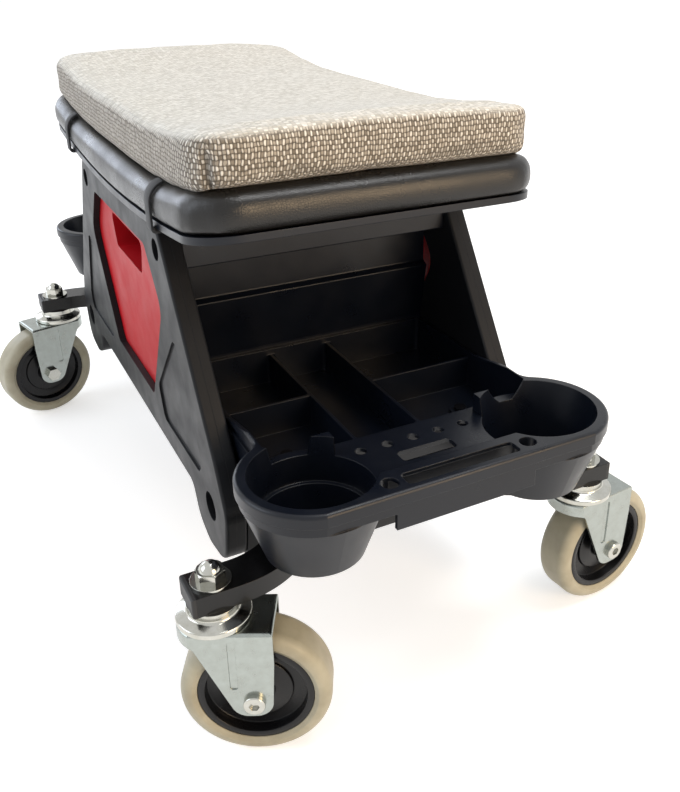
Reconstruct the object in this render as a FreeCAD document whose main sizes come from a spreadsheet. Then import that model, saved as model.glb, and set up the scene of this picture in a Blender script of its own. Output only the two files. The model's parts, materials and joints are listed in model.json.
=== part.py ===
import FreeCAD, Part
import math
import os
import re
from types import SimpleNamespace
from FreeCAD import Placement, Rotation, Vector

# Rolling creeper seat: a padded saddle seat on two moulded side panels, with a tool tray at each
# end and four swivel casters on bowed steel arms.
# The origin is on the floor under the middle of the seat. +X runs towards one tray, +Z up.
# All lengths are millimetres, all angles degrees.

doc = FreeCAD.newDocument("creeper_seat")

LENGTHS = {
    # Casters
    "wheel_radius": 50.0,
    "tread_width": 30.0,
    "tyre_shoulder": 7.5,
    "tyre_side_turn": 1.2,
    "hub_radius": 38.5,
    "hub_width": 26.0,
    "hub_rim_wall": 5.5,
    "hub_web": 5.0,
    "hub_boss_radius": 12.0,
    "hub_step_radius": 24.0,
    "hub_step_web": 9.0,
    "hub_rib": 2.6,
    "caster_trail": 24.9,
    "fork_inside": 35.0,
    "fork_sheet": 2.5,
    "fork_shoulder": 6.0,
    "fork_skirt": 10.0,
    "fork_crown_gap": 4.0,
    "fork_nose": 24.5,
    "fork_tail": 39.0,
    "fork_tail_drop": 24.0,
    "fork_boss_radius": 11.5,
    "fork_groove_width": 5.0,
    "fork_groove_depth": 0.8,
    "race_radius": 24.5,
    "race_height": 12.7,
    "race_skirt": 4.2,
    "race_neck_radius": 17.0,
    "kingpin_radius": 5.0,
    "kingpin_head_radius": 9.0,
    "kingpin_head": 3.6,
    "axle_radius": 4.0,
    "axle_head_radius": 7.2,
    "axle_head": 3.6,
    "axle_socket_radius": 3.1,
    "axle_socket_depth": 2.2,
    "axle_nut_flats": 13.0,
    "axle_nut_height": 6.0,
    "bush_radius": 6.2,
    "stem_across": 559.6,
    "stem_apart": 298.8,
    "cap_nut_flats": 17.0,
    "cap_nut_height": 7.5,
    "cap_nut_chamfer": 1.0,
    "cap_dome_radius": 7.2,
    "cap_dome_rise": 5.4,
    "washer_radius": 13.2,
    "washer_thickness": 1.8,
    # Arms and the steel sub-frame
    "arm_width": 27.5,
    "arm_height": 14.3,
    "arm_wall": 1.8,
    "arm_reach": 163.2,
    "arm_bend_start": 134.0,
    "arm_bend_radius": 60.0,
    "arm_middle": 250.3,
    "plug_flange": 3.0,
    "plug_stub": 7.0,
    "cross_tube": 27.5,
    "cross_tube_wall": 2.0,
    "cross_tube_place": 202.0,
    "cross_tube_end": 4.0,
    "tie_plate": 4.0,
    "tie_plate_half": 52.0,
    "tie_plate_margin": 8.0,
    # Side panels
    "panel_reach": 123.8,
    "shell_depth": 8.0,
    "shell_skin": 3.4,
    "shell_wall": 3.0,
    "shell_edge_round": 2.2,
    "panel_base": 127.0,
    "panel_top": 316.0,
    "panel_top_half": 132.0,
    "panel_shoulder_drop": 9.5,
    "panel_shoulder_radius": 16.0,
    "foot_inner": 167.0,
    "foot_outer": 236.3,
    "foot_bottom": 94.0,
    "foot_knee": 178.0,
    "foot_knee_reach": 219.0,
    "foot_boss_top": 165.0,
    "foot_boss_end": 58.0,
    "foot_core_wall": 4.0,
    "window_top": 295.0,
    "window_top_half": 86.0,
    "window_waist": 253.0,
    "window_waist_half": 119.0,
    "window_base": 158.0,
    "window_base_half": 61.0,
    "window_corner": 9.0,
    "window_frame": 3.0,
    "relief_depth": 1.8,
    "foot_hole_radius": 11.0,
    "top_hole_radius": 8.2,
    "top_hole_place": 120.5,
    "top_hole_height": 300.0,
    "bolt_boss_wall": 2.0,
    "lug_place": 62.0,
    "lug_length": 24.0,
    "lug_reach": 20.0,
    "lug_thickness": 5.0,
    # Red grip inserts
    "insert_setback": 6.0,
    "insert_rim": 4.0,
    "insert_rim_depth": 7.0,
    "grip_top": 285.0,
    "grip_base": 256.0,
    "grip_top_half": 52.0,
    "grip_base_half": 42.0,
    "grip_corner": 6.0,
    "grip_wall": 2.4,
    "grip_depth": 22.0,
    # Seat
    "saddle_radius": 1586.0,
    "board_thickness": 5.0,
    "board_inset": 2.0,
    "pad_half_length": 238.8,
    "pad_half_width": 129.3,
    "pad_thickness": 28.0,
    "pad_corner": 34.0,
    "pad_round": 13.0,
    "pad_lower_round": 6.5,
    "flat_half": 60.0,
    "flat_radius": 890.0,
    "cushion_half_length": 234.3,
    "cushion_half_width": 122.7,
    "cushion_thickness": 35.0,
    "cushion_crown": 2.5,
    "cushion_corner": 30.0,
    "cushion_round": 10.0,
    "cushion_waist": 1.5,
    "strap_width": 12.0,
    "strap_thickness": 1.6,
    "strap_place": 143.0,
    "strap_turn": 3.2,
    # Bulkheads behind the trays
    "bulkhead_wall": 3.0,
    "bulkhead_face": 104.0,
    "bulkhead_foot": 101.0,
    "bulkhead_step": 5.0,
    "bulkhead_step_height": 248.0,
    "bulkhead_tuck_height": 200.0,
    "bulkhead_beam_face": 134.0,
    "bulkhead_beam_base": 287.0,
    "bulkhead_ledge": 24.0,
    "bulkhead_cheek": 12.0,
    "bulkhead_boss_radius": 11.5,
    # Trays
    "tray_wall": 2.8,
    "tray_front": 345.0,
    "tray_half_width": 105.4,
    "tray_floor": 168.0,
    "deck_height": 192.4,
    "rim_height": 205.5,
    "rim_low": 197.0,
    "rim_swoop": 55.0,
    "rim_width": 7.7,
    "rim_lip": 9.0,
    "rim_round": 2.6,
    "cup_x": 298.1,
    "cup_y": 85.1,
    "cup_radius": 40.7,
    "cup_floor": 153.0,
    "cup_base_radius": 29.5,
    "cup_ledge": 173.0,
    "cup_ledge_radius": 38.0,
    "cup_ledge_width": 3.0,
    "cup_flare": 2.6,
    "kink_radius": 11.0,
    "strip_rear": 320.0,
    "strip_half": 57.0,
    "lip_overhang": 2.0,
    "long_slot_half": 41.0,
    "long_slot_width": 12.5,
    "long_slot_place": 333.4,
    "long_slot_depth": 16.0,
    "short_slot_half": 20.5,
    "short_slot_width": 12.0,
    "short_slot_place": 292.0,
    "driver_hole_radius": 4.0,
    "driver_hole_pitch": 19.93,
    "driver_hole_place": 273.3,
    "corner_hole_radius": 5.8,
    "corner_hole_place": 332.7,
    "corner_hole_apart": 101.4,
    "divider_wall": 2.4,
    "divider_cross": 184.0,
    "divider_left": 36.0,
    "divider_right": 14.0,
    "cell_front": 257.0,
    "cell_corner": 3.0,
    "skirt_half": 51.0,
    "skirt_base": 178.0,
    "skirt_thickness": 3.0,
    "screw_boss_x": 222.0,
    "screw_boss_y": 72.0,
    "screw_boss_radius": 8.0,
    "screw_boss_rise": 2.5,
    # Fasteners
    "panel_bolt_radius": 3.0,
    "panel_bolt_head_radius": 6.0,
    "panel_bolt_head": 4.4,
    "panel_bolt_length": 26.0,
    "wood_screw_radius": 2.2,
    "wood_screw_head_radius": 4.6,
    "wood_screw_head": 2.4,
    "tray_screw_length": 22.0,
    "seat_screw_length": 8.5,
    # Fits and overruns
    "running_gap": 0.05,
    "seat_gap": 0.3,
    "overrun": 2.0,
}

COUNTS = {
    "hub_ribs": 8,
    "driver_holes": 5,
}

# Rest angles of the four casters' trails, from +X, as they stand in the photograph
SWIVEL_ANGLES = {
    "front_left": 62.5,
    "front_right": 95.1,
    "rear_left": -76.0,
    "rear_right": 126.0,
}

sheet = doc.addObject("Spreadsheet::Sheet", "sizes")
for row, (name, value) in enumerate({**LENGTHS, **COUNTS}.items(), start=1):
    sheet.set(f"A{row}", name)
    sheet.set(f"B{row}", str(value))
    sheet.setAlias(f"B{row}", name)
doc.recompute()
s = SimpleNamespace(**{name: float(sheet.get(name)) for name in LENGTHS})
n = SimpleNamespace(**{name: int(sheet.get(name)) for name in COUNTS})

# Heights and places that follow from the sizes, from the floor up
axle_height = s.wheel_radius
fork_underside = s.wheel_radius * 2 + s.fork_crown_gap
fork_top = fork_underside + s.fork_sheet
arm_underside = fork_top + s.race_height
arm_top = arm_underside + s.arm_height
stem_x = s.stem_across / 2
stem_y = s.stem_apart / 2
fork_half = s.fork_inside / 2 + s.fork_sheet
cross_tube_axis = arm_underside + s.cross_tube / 2
seam = s.panel_reach - s.shell_depth
panel_inside = seam - s.shell_depth
board_top = s.panel_top + s.board_thickness
pad_top = board_top + s.pad_thickness
cushion_base = pad_top + s.seat_gap
deck_underside = s.deck_height - s.tray_wall
floor_underside = s.tray_floor - s.tray_wall
cup_underside = s.cup_floor - s.tray_wall
long_cut = s.pad_half_length * 2

IDENTITY = Placement()
TURNED = Placement(Vector(), Rotation(Vector(0, 0, 1), 180))
ENDS = {"front": IDENTITY, "rear": TURNED}
SIDES = {"left": IDENTITY, "right": TURNED}


def bind(feature, prop, expression):
    """Bind a property to the sheet: plain size names become references to its cells."""
    words = re.sub(r"[a-z]\w*", lambda found: "sizes." + found.group(0), expression)
    feature.setExpression(prop, words)


def new_body(label):
    body = doc.addObject("PartDesign::Body", label)
    body.Label = label
    return body


def new_sketch(body, plane, offset=0.0):
    """A sketch on one of the body's own planes, moved along that plane's normal."""
    sketch = body.newObject("Sketcher::SketchObject", body.Name + "_sketch")
    base = next(item for item in body.Origin.OriginFeatures if item.Role == plane)
    sketch.AttachmentSupport = [(base, "")]
    sketch.MapMode = "FlatFace"
    sketch.AttachmentOffset = Placement(Vector(0, 0, offset), Rotation())
    return sketch


def rounded(corners):
    """Edges of a closed outline from (x, y, radius) corners, with a tangent arc at each radius."""
    marks = []
    for index, (x, y, radius) in enumerate(corners):
        here = Vector(x, y, 0)
        before = Vector(*corners[index - 1][:2], 0)
        after = Vector(*corners[(index + 1) % len(corners)][:2], 0)
        back = (before - here).normalize()
        ahead = (after - here).normalize()
        if radius <= 0:
            marks.append((here, None, here))
            continue
        half = back.getAngle(ahead) / 2
        run = radius / math.tan(half)
        middle = (back + ahead).normalize() * (radius / math.sin(half) - radius)
        marks.append((here + back * run, here + middle, here + ahead * run))
    edges = []
    for index, (start, middle, end) in enumerate(marks):
        if middle is not None:
            edges.append(Part.Arc(start, middle, end))
        following = marks[(index + 1) % len(marks)][0]
        if end.distanceToPoint(following) > Part.Precision.confusion() * 10:
            edges.append(Part.LineSegment(end, following))
    return edges


def mirrored(corners):
    """Add the mirror image in x of a half outline that runs from the +x side's first corner."""
    return list(corners) + [(-x, y, radius) for x, y, radius in reversed(corners)]


def inset(corners, distance):
    """Move every side of a closed outline inwards; a negative distance moves them outwards."""
    count = len(corners)
    points = [Vector(x, y, 0) for x, y, _ in corners]
    area = sum(points[i - 1].x * points[i].y - points[i].x * points[i - 1].y for i in range(count))
    turn = 1 if area > 0 else -1
    moved = []
    for index in range(count):
        here, before, after = points[index], points[index - 1], points[(index + 1) % count]
        first = (here - before).normalize()
        second = (after - here).normalize()
        shift_first = Vector(-first.y, first.x, 0) * turn
        shift_second = Vector(-second.y, second.x, 0) * turn
        corner = here + (shift_first + shift_second) * (distance / (1 + shift_first * shift_second))
        convex = (first.x * second.y - first.y * second.x) * turn > 0
        radius = corners[index][2]
        if radius > 0:
            radius = max(radius - distance if convex else radius + distance, s.running_gap)
        moved.append((corner.x, corner.y, radius))
    return moved


def box_corners(low_x, high_x, low_y, high_y, radius=0.0):
    """Corners of a rectangle with one radius."""
    return [
        (low_x, low_y, radius), (high_x, low_y, radius),
        (high_x, high_y, radius), (low_x, high_y, radius),
    ]


def circle(x, y, radius):
    return [Part.Circle(Vector(x, y, 0), Vector(0, 0, 1), radius)]


def hexagon(x, y, flats):
    corner = flats / math.sqrt(3)
    angles = [math.radians(60 * step) for step in range(6)]
    return rounded([(x + corner * math.cos(a), y + corner * math.sin(a), 0) for a in angles])


def draw(body, plane, offset, *outlines):
    sketch = new_sketch(body, plane, offset)
    for outline in outlines:
        for edge in outline:
            sketch.addGeometry(edge, False)
    return sketch


def pad(body, sketch, length, reverse=False, centred=False):
    feature = body.newObject("PartDesign::Pad", body.Name + "_pad")
    feature.Profile = sketch
    bind(feature, "Length", length)
    feature.Reversed = reverse
    feature.Midplane = centred
    doc.recompute()
    return feature


def pocket(body, sketch, length, reverse=False, centred=False):
    """Cut a pocket and stop if it took nothing away."""
    before = body.Shape.Volume
    feature = body.newObject("PartDesign::Pocket", body.Name + "_pocket")
    feature.Profile = sketch
    bind(feature, "Length", length)
    feature.Reversed = reverse
    feature.Midplane = centred
    doc.recompute()
    if not body.Shape.Volume < before:
        raise RuntimeError(f"{feature.Name} cuts nothing from {body.Label}")
    return feature


def revolve(body, sketch, axis="V_Axis", groove=False):
    kind = "PartDesign::Groove" if groove else "PartDesign::Revolution"
    feature = body.newObject(kind, body.Name + "_turn")
    feature.Profile = sketch
    feature.ReferenceAxis = (sketch, [axis])
    feature.Angle = 360
    doc.recompute()
    return feature


def dress(body, kind, edges, prop, size):
    """Fillet or chamfer the named edges of the body's last feature."""
    if not edges:
        raise RuntimeError(f"no edges to dress on {body.Label}")
    base = body.Tip
    feature = body.newObject("PartDesign::" + kind, body.Name + "_" + kind.lower())
    feature.Base = (base, edges)
    bind(feature, prop, size)
    doc.recompute()
    return feature


def edges_where(shape, test):
    return [f"Edge{number}" for number, edge in enumerate(shape.Edges, start=1) if test(edge)]


def near(value, target):
    return abs(value - target) < s.running_gap


def level_edges(shape, axis, level):
    """Names of the edges that lie wholly in the plane where the axis has this value."""
    low, high = axis + "Min", axis + "Max"

    def in_plane(edge):
        box = edge.BoundBox
        return near(getattr(box, low), level) and near(getattr(box, high), level)

    return edges_where(shape, in_plane)


def upright_edges(shape):
    """Names of the edges that run straight up."""
    return edges_where(shape, lambda edge: near(edge.BoundBox.XLength, 0) and near(edge.BoundBox.YLength, 0))


def group(label, shapes):
    """One node of several like solids."""
    feature = doc.addObject("Part::Feature", label)
    feature.Label = label
    feature.Shape = Part.makeCompound(shapes)
    return feature


def saddle(x):
    """Height of the seat board's underside, a shallow arc along X."""
    return s.panel_top + s.saddle_radius - math.sqrt(s.saddle_radius ** 2 - x ** 2)


def panel_outline():
    """Half outline of a side panel in X and Z, from the top shoulder down to the base."""
    arc_end = s.panel_top_half - s.panel_shoulder_radius * 2
    dip = s.panel_top - s.seat_gap - arc_end ** 2 / (2 * s.saddle_radius)
    top = dip + (s.panel_top_half - s.panel_shoulder_radius / 2) * arc_end / s.saddle_radius
    foot_width = s.foot_outer - s.foot_inner
    toe_share, heel_share, instep_share = 0.88, 0.34, 0.02
    foot_rise = s.panel_base - s.foot_bottom
    rise_share, side_share = 0.30, 1.5
    foot_turn = foot_width * rise_share
    half = [
        (s.foot_inner - foot_rise * rise_share, s.panel_base, foot_rise * rise_share),
        (s.foot_inner + foot_width * instep_share, s.foot_bottom + foot_rise * rise_share, foot_turn),
        (s.foot_inner + foot_width * heel_share, s.foot_bottom, foot_width * heel_share),
        (s.foot_inner + foot_width * toe_share, s.foot_bottom + foot_rise * rise_share / 2, foot_turn),
        (s.foot_outer, s.foot_bottom + foot_rise * side_share, foot_turn),
        (s.foot_knee_reach, s.foot_knee, foot_width * heel_share),
        (s.panel_top_half, top - s.panel_shoulder_drop, s.panel_shoulder_radius),
        (s.panel_top_half - s.panel_shoulder_radius / 2, top, s.panel_shoulder_radius),
    ]
    middle = (0.0, dip, s.saddle_radius)
    other = [(-x, z, radius) for x, z, radius in reversed(half)]
    return half + [middle] + other


def window_outline():
    """Outline of the window that shows the red insert."""
    half = [
        (s.window_base_half, s.window_base, s.window_corner),
        (s.window_waist_half, s.window_waist, s.window_corner * 2),
        (s.window_top_half, s.window_top, s.window_corner),
    ]
    return mirrored(half)


def relief_outline(side):
    """Rounded triangle sunk in the panel between the window and the leg."""
    apex_share, foot_share = 0.54, 0.83
    corners = [
        (s.foot_inner * apex_share, s.window_base - s.window_corner, s.window_corner),
        (s.foot_inner + s.window_corner * 2, s.window_base - s.window_corner, s.window_corner),
        (s.foot_inner + s.window_corner * 2, s.window_base + s.window_corner, s.window_corner),
        (s.foot_inner * foot_share + s.window_corner, s.window_waist - s.window_corner, s.window_corner),
        (s.foot_inner * apex_share - s.window_corner, s.window_base + s.window_corner * 2, s.window_corner),
    ]
    return [(side * x, z, radius) for x, z, radius in corners]


def holes(radius_top, radius_foot):
    """Circles round the upper and foot bolt holes of a panel."""
    outlines = []
    for side in (1, -1):
        outlines.append(circle(side * s.top_hole_place, s.top_hole_height, radius_top))
        outlines.append(circle(side * s.cross_tube_place, cross_tube_axis, radius_foot))
    return outlines


def make_shell(body, outward):
    """Common half shell: its outline, hollow, window and bolt bosses; outward is True for the outer one."""
    outline = panel_outline()
    boss = s.top_hole_radius + s.bolt_boss_wall / 2
    pad(body, draw(body, "XZ_Plane", seam, rounded(outline)), "shell_depth", reverse=not outward)
    face = s.panel_reach if outward else panel_inside
    dress(body, "Fillet", level_edges(body.Shape, "Y", -face), "Radius", "shell_edge_round")
    hollow = draw(
        body, "XZ_Plane", seam,
        rounded(inset(outline, s.shell_wall)),
        rounded(inset(window_outline(), -s.window_frame - s.insert_rim)),
        *holes(boss, s.foot_hole_radius + s.bolt_boss_wall),
    )
    pocket(body, hollow, "shell_depth - shell_skin", reverse=outward)


def make_outer_shell(label):
    body = new_body(label)
    make_shell(body, outward=True)
    opening = draw(body, "XZ_Plane", seam, rounded(window_outline()))
    pocket(body, opening, "shell_depth * 2", reverse=True)
    nest = draw(body, "XZ_Plane", seam, rounded(inset(window_outline(), -s.insert_rim - s.seat_gap)))
    pocket(body, nest, "shell_depth - insert_setback + seat_gap", reverse=True)
    bores = draw(body, "XZ_Plane", seam, *holes(s.top_hole_radius, s.foot_hole_radius))
    pocket(body, bores, "shell_depth * 2", reverse=True)
    for side in (1, -1):
        relief = draw(body, "XZ_Plane", s.panel_reach, rounded(relief_outline(side)))
        pocket(body, relief, "relief_depth")
    return body


def foot_outline(side):
    """Outline of the foot boss in X and Z, which carries the tray on its flat top."""
    width = s.foot_outer - s.foot_inner
    toe_share, heel_share, corner_share = 0.88, 0.34, 0.17
    corners = [
        (s.foot_inner, s.foot_boss_top, s.foot_core_wall),
        (s.foot_inner, s.foot_bottom + width * corner_share, width * corner_share),
        (s.foot_inner + width * heel_share, s.foot_bottom, width * heel_share),
        (s.foot_inner + width * toe_share, s.foot_bottom + width * corner_share / 2, width * corner_share),
        (s.foot_outer - s.seat_gap, s.foot_boss_top - width * heel_share, width * corner_share),
        (s.foot_outer - s.foot_core_wall, s.foot_boss_top, s.foot_core_wall),
    ]
    return [(side * x, z, radius) for x, z, radius in corners]


def make_inner_shell(label):
    """Inner half: bolt seats, the two long foot bosses that hold the cross tubes, and the seat lugs."""
    body = new_body(label)
    make_shell(body, outward=False)
    opening = draw(body, "XZ_Plane", seam, rounded(window_outline()))
    pocket(body, opening, "shell_depth * 2")
    boss_length = "panel_reach - shell_depth * 2 - foot_boss_end"
    socket = s.cross_tube / 2 + s.seat_gap
    core_top = cross_tube_axis + socket + s.foot_core_wall
    for side in (1, -1):
        foot = draw(body, "XZ_Plane", panel_inside, rounded(foot_outline(side)))
        pad(body, foot, boss_length, reverse=True)
        axis_x = side * s.cross_tube_place
        low_z, high_z = cross_tube_axis - socket, cross_tube_axis + socket
        sleeve = box_corners(axis_x - socket, axis_x + socket, low_z, high_z)
        cut = draw(body, "XZ_Plane", panel_inside, rounded(sleeve))
        pocket(body, cut, boss_length + " + overrun")
        upper = box_corners(
            axis_x - socket, axis_x + socket - s.screw_boss_radius, core_top,
            s.foot_boss_top - s.foot_core_wall, s.foot_core_wall / 2,
        )
        cut = draw(body, "XZ_Plane", panel_inside, rounded(upper))
        pocket(body, cut, boss_length + " + overrun")
        lug_top = saddle(s.lug_place - s.lug_length / 2) - s.seat_gap
        lug = box_corners(
            side * s.lug_place - s.lug_length / 2, side * s.lug_place + s.lug_length / 2,
            lug_top - s.lug_thickness, lug_top, s.lug_thickness / 4,
        )
        pad(body, draw(body, "XZ_Plane", panel_inside, rounded(lug)), "lug_reach", reverse=True)
    bolt_hole = s.panel_bolt_radius + s.seat_gap
    pocket(body, draw(body, "XZ_Plane", seam, *holes(bolt_hole, bolt_hole)), "shell_depth + overrun")
    lug_holes = []
    screw_holes = []
    screw_hole = s.wood_screw_radius + s.running_gap
    for side in (1, -1):
        lug_holes += circle(side * s.lug_place, s.lug_reach / 2 - panel_inside, screw_hole)
        screw_holes += circle(side * s.screw_boss_x, -s.screw_boss_y, screw_hole)
    cut = draw(body, "XY_Plane", s.panel_top - s.lug_thickness * 2, lug_holes)
    pocket(body, cut, "lug_thickness * 3", reverse=True)
    cut = draw(body, "XY_Plane", s.foot_boss_top + s.overrun, screw_holes)
    pocket(body, cut, "tray_screw_length + overrun")
    return body


def make_grip_insert(label):
    """Red insert: a face behind the window, a rim trapped between the shells and a hand pocket."""
    body = new_body(label)
    face = s.panel_reach - s.insert_setback
    flange = draw(body, "XZ_Plane", seam + s.seat_gap, rounded(inset(window_outline(), -s.insert_rim)))
    pad(body, flange, "shell_depth - insert_setback - seat_gap")
    hollow = draw(body, "XZ_Plane", seam + s.seat_gap, rounded(inset(window_outline(), s.grip_wall)))
    rim = draw(body, "XZ_Plane", seam + s.seat_gap, rounded(inset(window_outline(), s.seat_gap)))
    pad(body, rim, "insert_rim_depth", reverse=True)
    pocket(body, hollow, "insert_rim_depth")
    hand = mirrored([
        (s.grip_base_half, s.grip_base, s.grip_corner),
        (s.grip_top_half, s.grip_top, s.grip_corner),
    ])
    wall = draw(body, "XZ_Plane", face, rounded(inset(hand, -s.grip_wall)))
    pad(body, wall, "grip_depth", reverse=True)
    slot = draw(body, "XZ_Plane", face, rounded(hand))
    pocket(body, slot, "grip_depth + overrun")
    return body


def saddle_band(half_length, base, rise):
    """Closed band in X and Z between two heights, bowed like the seat board."""
    ends = saddle(half_length) - s.panel_top
    low = [Vector(-half_length, base + ends, 0), Vector(0, base, 0), Vector(half_length, base + ends, 0)]
    high = [point + Vector(0, rise, 0) for point in low]
    return [
        Part.Arc(*low), Part.LineSegment(low[2], high[2]),
        Part.Arc(high[2], high[1], high[0]), Part.LineSegment(high[0], low[0]),
    ]


def seat_rise(x):
    """Rise of the pad's upper side at a distance from the middle: flat, then a tangent arc."""
    past = max(abs(x) - s.flat_half, 0.0)
    return s.flat_radius - math.sqrt(s.flat_radius ** 2 - past ** 2)


def make_seat_board(label):
    body = new_body(label)
    half = s.pad_half_length - s.board_inset
    band = draw(body, "XZ_Plane", 0.0, saddle_band(half, s.panel_top, s.board_thickness))
    pad(body, band, "(pad_half_width - board_inset) * 2", centred=True)
    dress(body, "Fillet", upright_edges(body.Shape), "Radius", "pad_corner - board_inset")
    bores = []
    for place in corner_points(s.lug_place, panel_inside - s.lug_reach / 2, 0):
        bores += circle(place.x, place.y, s.wood_screw_radius + s.running_gap)
    cut = draw(body, "XY_Plane", s.panel_top - s.overrun, bores)
    pocket(body, cut, "seat_screw_length - lug_thickness + overrun * 2", reverse=True)
    return body


def make_seat_pad(label):
    """Moulded foam pad: a saddle with a flat middle, rounded corners and a full upper round."""
    body = new_body(label)
    half, flat = s.pad_half_length, s.flat_half
    low_end = saddle(half) + s.board_thickness
    high_end = pad_top + seat_rise(half)
    knee = (half + flat) / 2
    high_knee = pad_top + seat_rise(knee)
    outline = [
        Part.Arc(Vector(-half, low_end, 0), Vector(0, board_top, 0), Vector(half, low_end, 0)),
        Part.LineSegment(Vector(half, low_end, 0), Vector(half, high_end, 0)),
        Part.Arc(Vector(half, high_end, 0), Vector(knee, high_knee, 0), Vector(flat, pad_top, 0)),
        Part.LineSegment(Vector(flat, pad_top, 0), Vector(-flat, pad_top, 0)),
        Part.Arc(Vector(-flat, pad_top, 0), Vector(-knee, high_knee, 0), Vector(-half, high_end, 0)),
        Part.LineSegment(Vector(-half, high_end, 0), Vector(-half, low_end, 0)),
    ]
    pad(body, draw(body, "XZ_Plane", 0.0, outline), "pad_half_width * 2", centred=True)
    dress(body, "Fillet", upright_edges(body.Shape), "Radius", "pad_corner")
    above = pad_top - s.running_gap
    upper = edges_where(body.Shape, lambda edge: on_pad_rim(edge) and edge.BoundBox.ZMin > above)
    dress(body, "Fillet", upper, "Radius", "pad_round")
    below = low_end + s.running_gap
    lower = edges_where(body.Shape, lambda edge: on_pad_rim(edge) and edge.BoundBox.ZMax < below)
    dress(body, "Fillet", lower, "Radius", "pad_lower_round")
    return body


def on_pad_rim(edge):
    """Whether an edge runs along the outside of the pad's rounded plan."""
    box = edge.BoundBox
    if near(box.XLength, 0) and near(box.YLength, 0):
        return False
    middle = edge.valueAt((edge.FirstParameter + edge.LastParameter) / 2)
    past_x = abs(middle.x) - (s.pad_half_length - s.pad_corner)
    past_y = abs(middle.y) - (s.pad_half_width - s.pad_corner)
    if past_x > 0 and past_y > 0:
        return math.hypot(past_x, past_y) > s.pad_corner - s.running_gap
    return near(abs(middle.x), s.pad_half_length) or near(abs(middle.y), s.pad_half_width)


def cushion_section(x, height_share, width):
    """Closed section of the cushion across the seat: flat base, drawn-in sides, crowned top."""
    low = cushion_base + seat_rise(x)
    thickness = s.cushion_thickness * height_share
    rise = s.cushion_thickness * (1 - height_share) / 2
    low += rise
    high = low + thickness
    radius = s.cushion_round * height_share
    crown = s.cushion_crown * height_share
    waist = s.cushion_waist * height_share
    slant = radius * (1 - math.sqrt(0.5))
    right = [
        Vector(width - radius, low, 0), Vector(width - slant, low + slant, 0), Vector(width, low + radius, 0),
        Vector(width - waist, (low + high) / 2, 0), Vector(width, high - radius, 0),
        Vector(width - slant, high - slant, 0), Vector(width - radius, high, 0),
    ]
    left = [Vector(-point.x, point.y, 0) for point in right]
    return [
        Part.Arc(right[0], right[1], right[2]), Part.Arc(right[2], right[3], right[4]),
        Part.Arc(right[4], right[5], right[6]), Part.Arc(right[6], Vector(0, high + crown, 0), left[6]),
        Part.Arc(left[6], left[5], left[4]), Part.Arc(left[4], left[3], left[2]),
        Part.Arc(left[2], left[1], left[0]), Part.LineSegment(left[0], right[0]),
    ]


def make_cushion(label):
    """Fabric cushion, lofted along the seat through sections that round off towards both ends."""
    body = new_body(label)
    length, width = s.cushion_half_length, s.cushion_half_width
    corner, turn = s.cushion_corner, s.cushion_round
    stations = []
    end_angles = (5, 30, 55, 90)
    for angle in end_angles:
        back = turn * (1 - math.cos(math.radians(angle)))
        narrow = corner - math.sqrt(corner ** 2 - (corner - back) ** 2)
        height_share = 1 - turn * 2 * (1 - math.sin(math.radians(angle))) / s.cushion_thickness
        stations.append((length - back, height_share, width - narrow))
    corner_shares = (0.45, 0.2, 0.0)
    for share in corner_shares:
        narrow = corner - corner * math.sqrt(1 - share ** 2)
        stations.append((length - corner * (1 - share), 1.0, width - narrow))
    inner_shares = (0.7, 0.48, 0.256, 0.0)
    for share in inner_shares:
        stations.append((length * share, 1.0, width))
    whole = stations + [(-x, share, across) for x, share, across in reversed(stations[:-1])]
    sections = [draw(body, "YZ_Plane", x, cushion_section(x, share, across)) for x, share, across in whole]
    loft = body.newObject("PartDesign::AdditiveLoft", body.Name + "_loft")
    loft.Profile = sections[0]
    loft.Sections = sections[1:]
    loft.Ruled = True
    doc.recompute()
    return body


def strap_path(distance):
    """Half path of a strap in Y and Z at a distance from the pad, from its tip down and under the board."""
    tip = math.radians(75)
    low = saddle(s.strap_place - s.strap_width / 2) - distance
    centre_y = s.pad_half_width - s.pad_round
    centre_z = pad_top + seat_rise(s.strap_place + s.strap_width / 2) - s.pad_round
    radius = s.pad_round + distance
    wide = centre_y + radius
    turn = s.strap_turn
    slant = turn * (1 - math.sqrt(0.5))
    return [
        Vector(centre_y + radius * math.cos(tip), centre_z + radius * math.sin(tip), 0),
        Vector(centre_y + radius * math.cos(tip / 2), centre_z + radius * math.sin(tip / 2), 0),
        Vector(wide, centre_z, 0), Vector(wide, low + turn, 0),
        Vector(wide - slant, low + slant, 0), Vector(wide - turn, low, 0),
    ]


def flipped(points):
    return [Vector(-point.x, point.y, 0) for point in points]


def make_strap(label):
    """Elastic band from the cushion's hem round the pad's side and under the seat board."""
    body = new_body(label)
    edges = []
    faces = (s.seat_gap, s.seat_gap + s.strap_thickness)
    for distance in faces:
        half = strap_path(distance)
        for path in (half, flipped(half)):
            edges += [
                Part.Arc(path[0], path[1], path[2]), Part.LineSegment(path[2], path[3]),
                Part.Arc(path[3], path[4], path[5]),
            ]
        edges.append(Part.LineSegment(half[5], flipped(half)[5]))
    inner_tip, outer_tip = [strap_path(distance)[0] for distance in faces]
    edges.append(Part.LineSegment(inner_tip, outer_tip))
    edges.append(Part.LineSegment(*flipped([inner_tip, outer_tip])))
    pad(body, draw(body, "YZ_Plane", s.strap_place, edges), "strap_width", centred=True)
    return body


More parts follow.
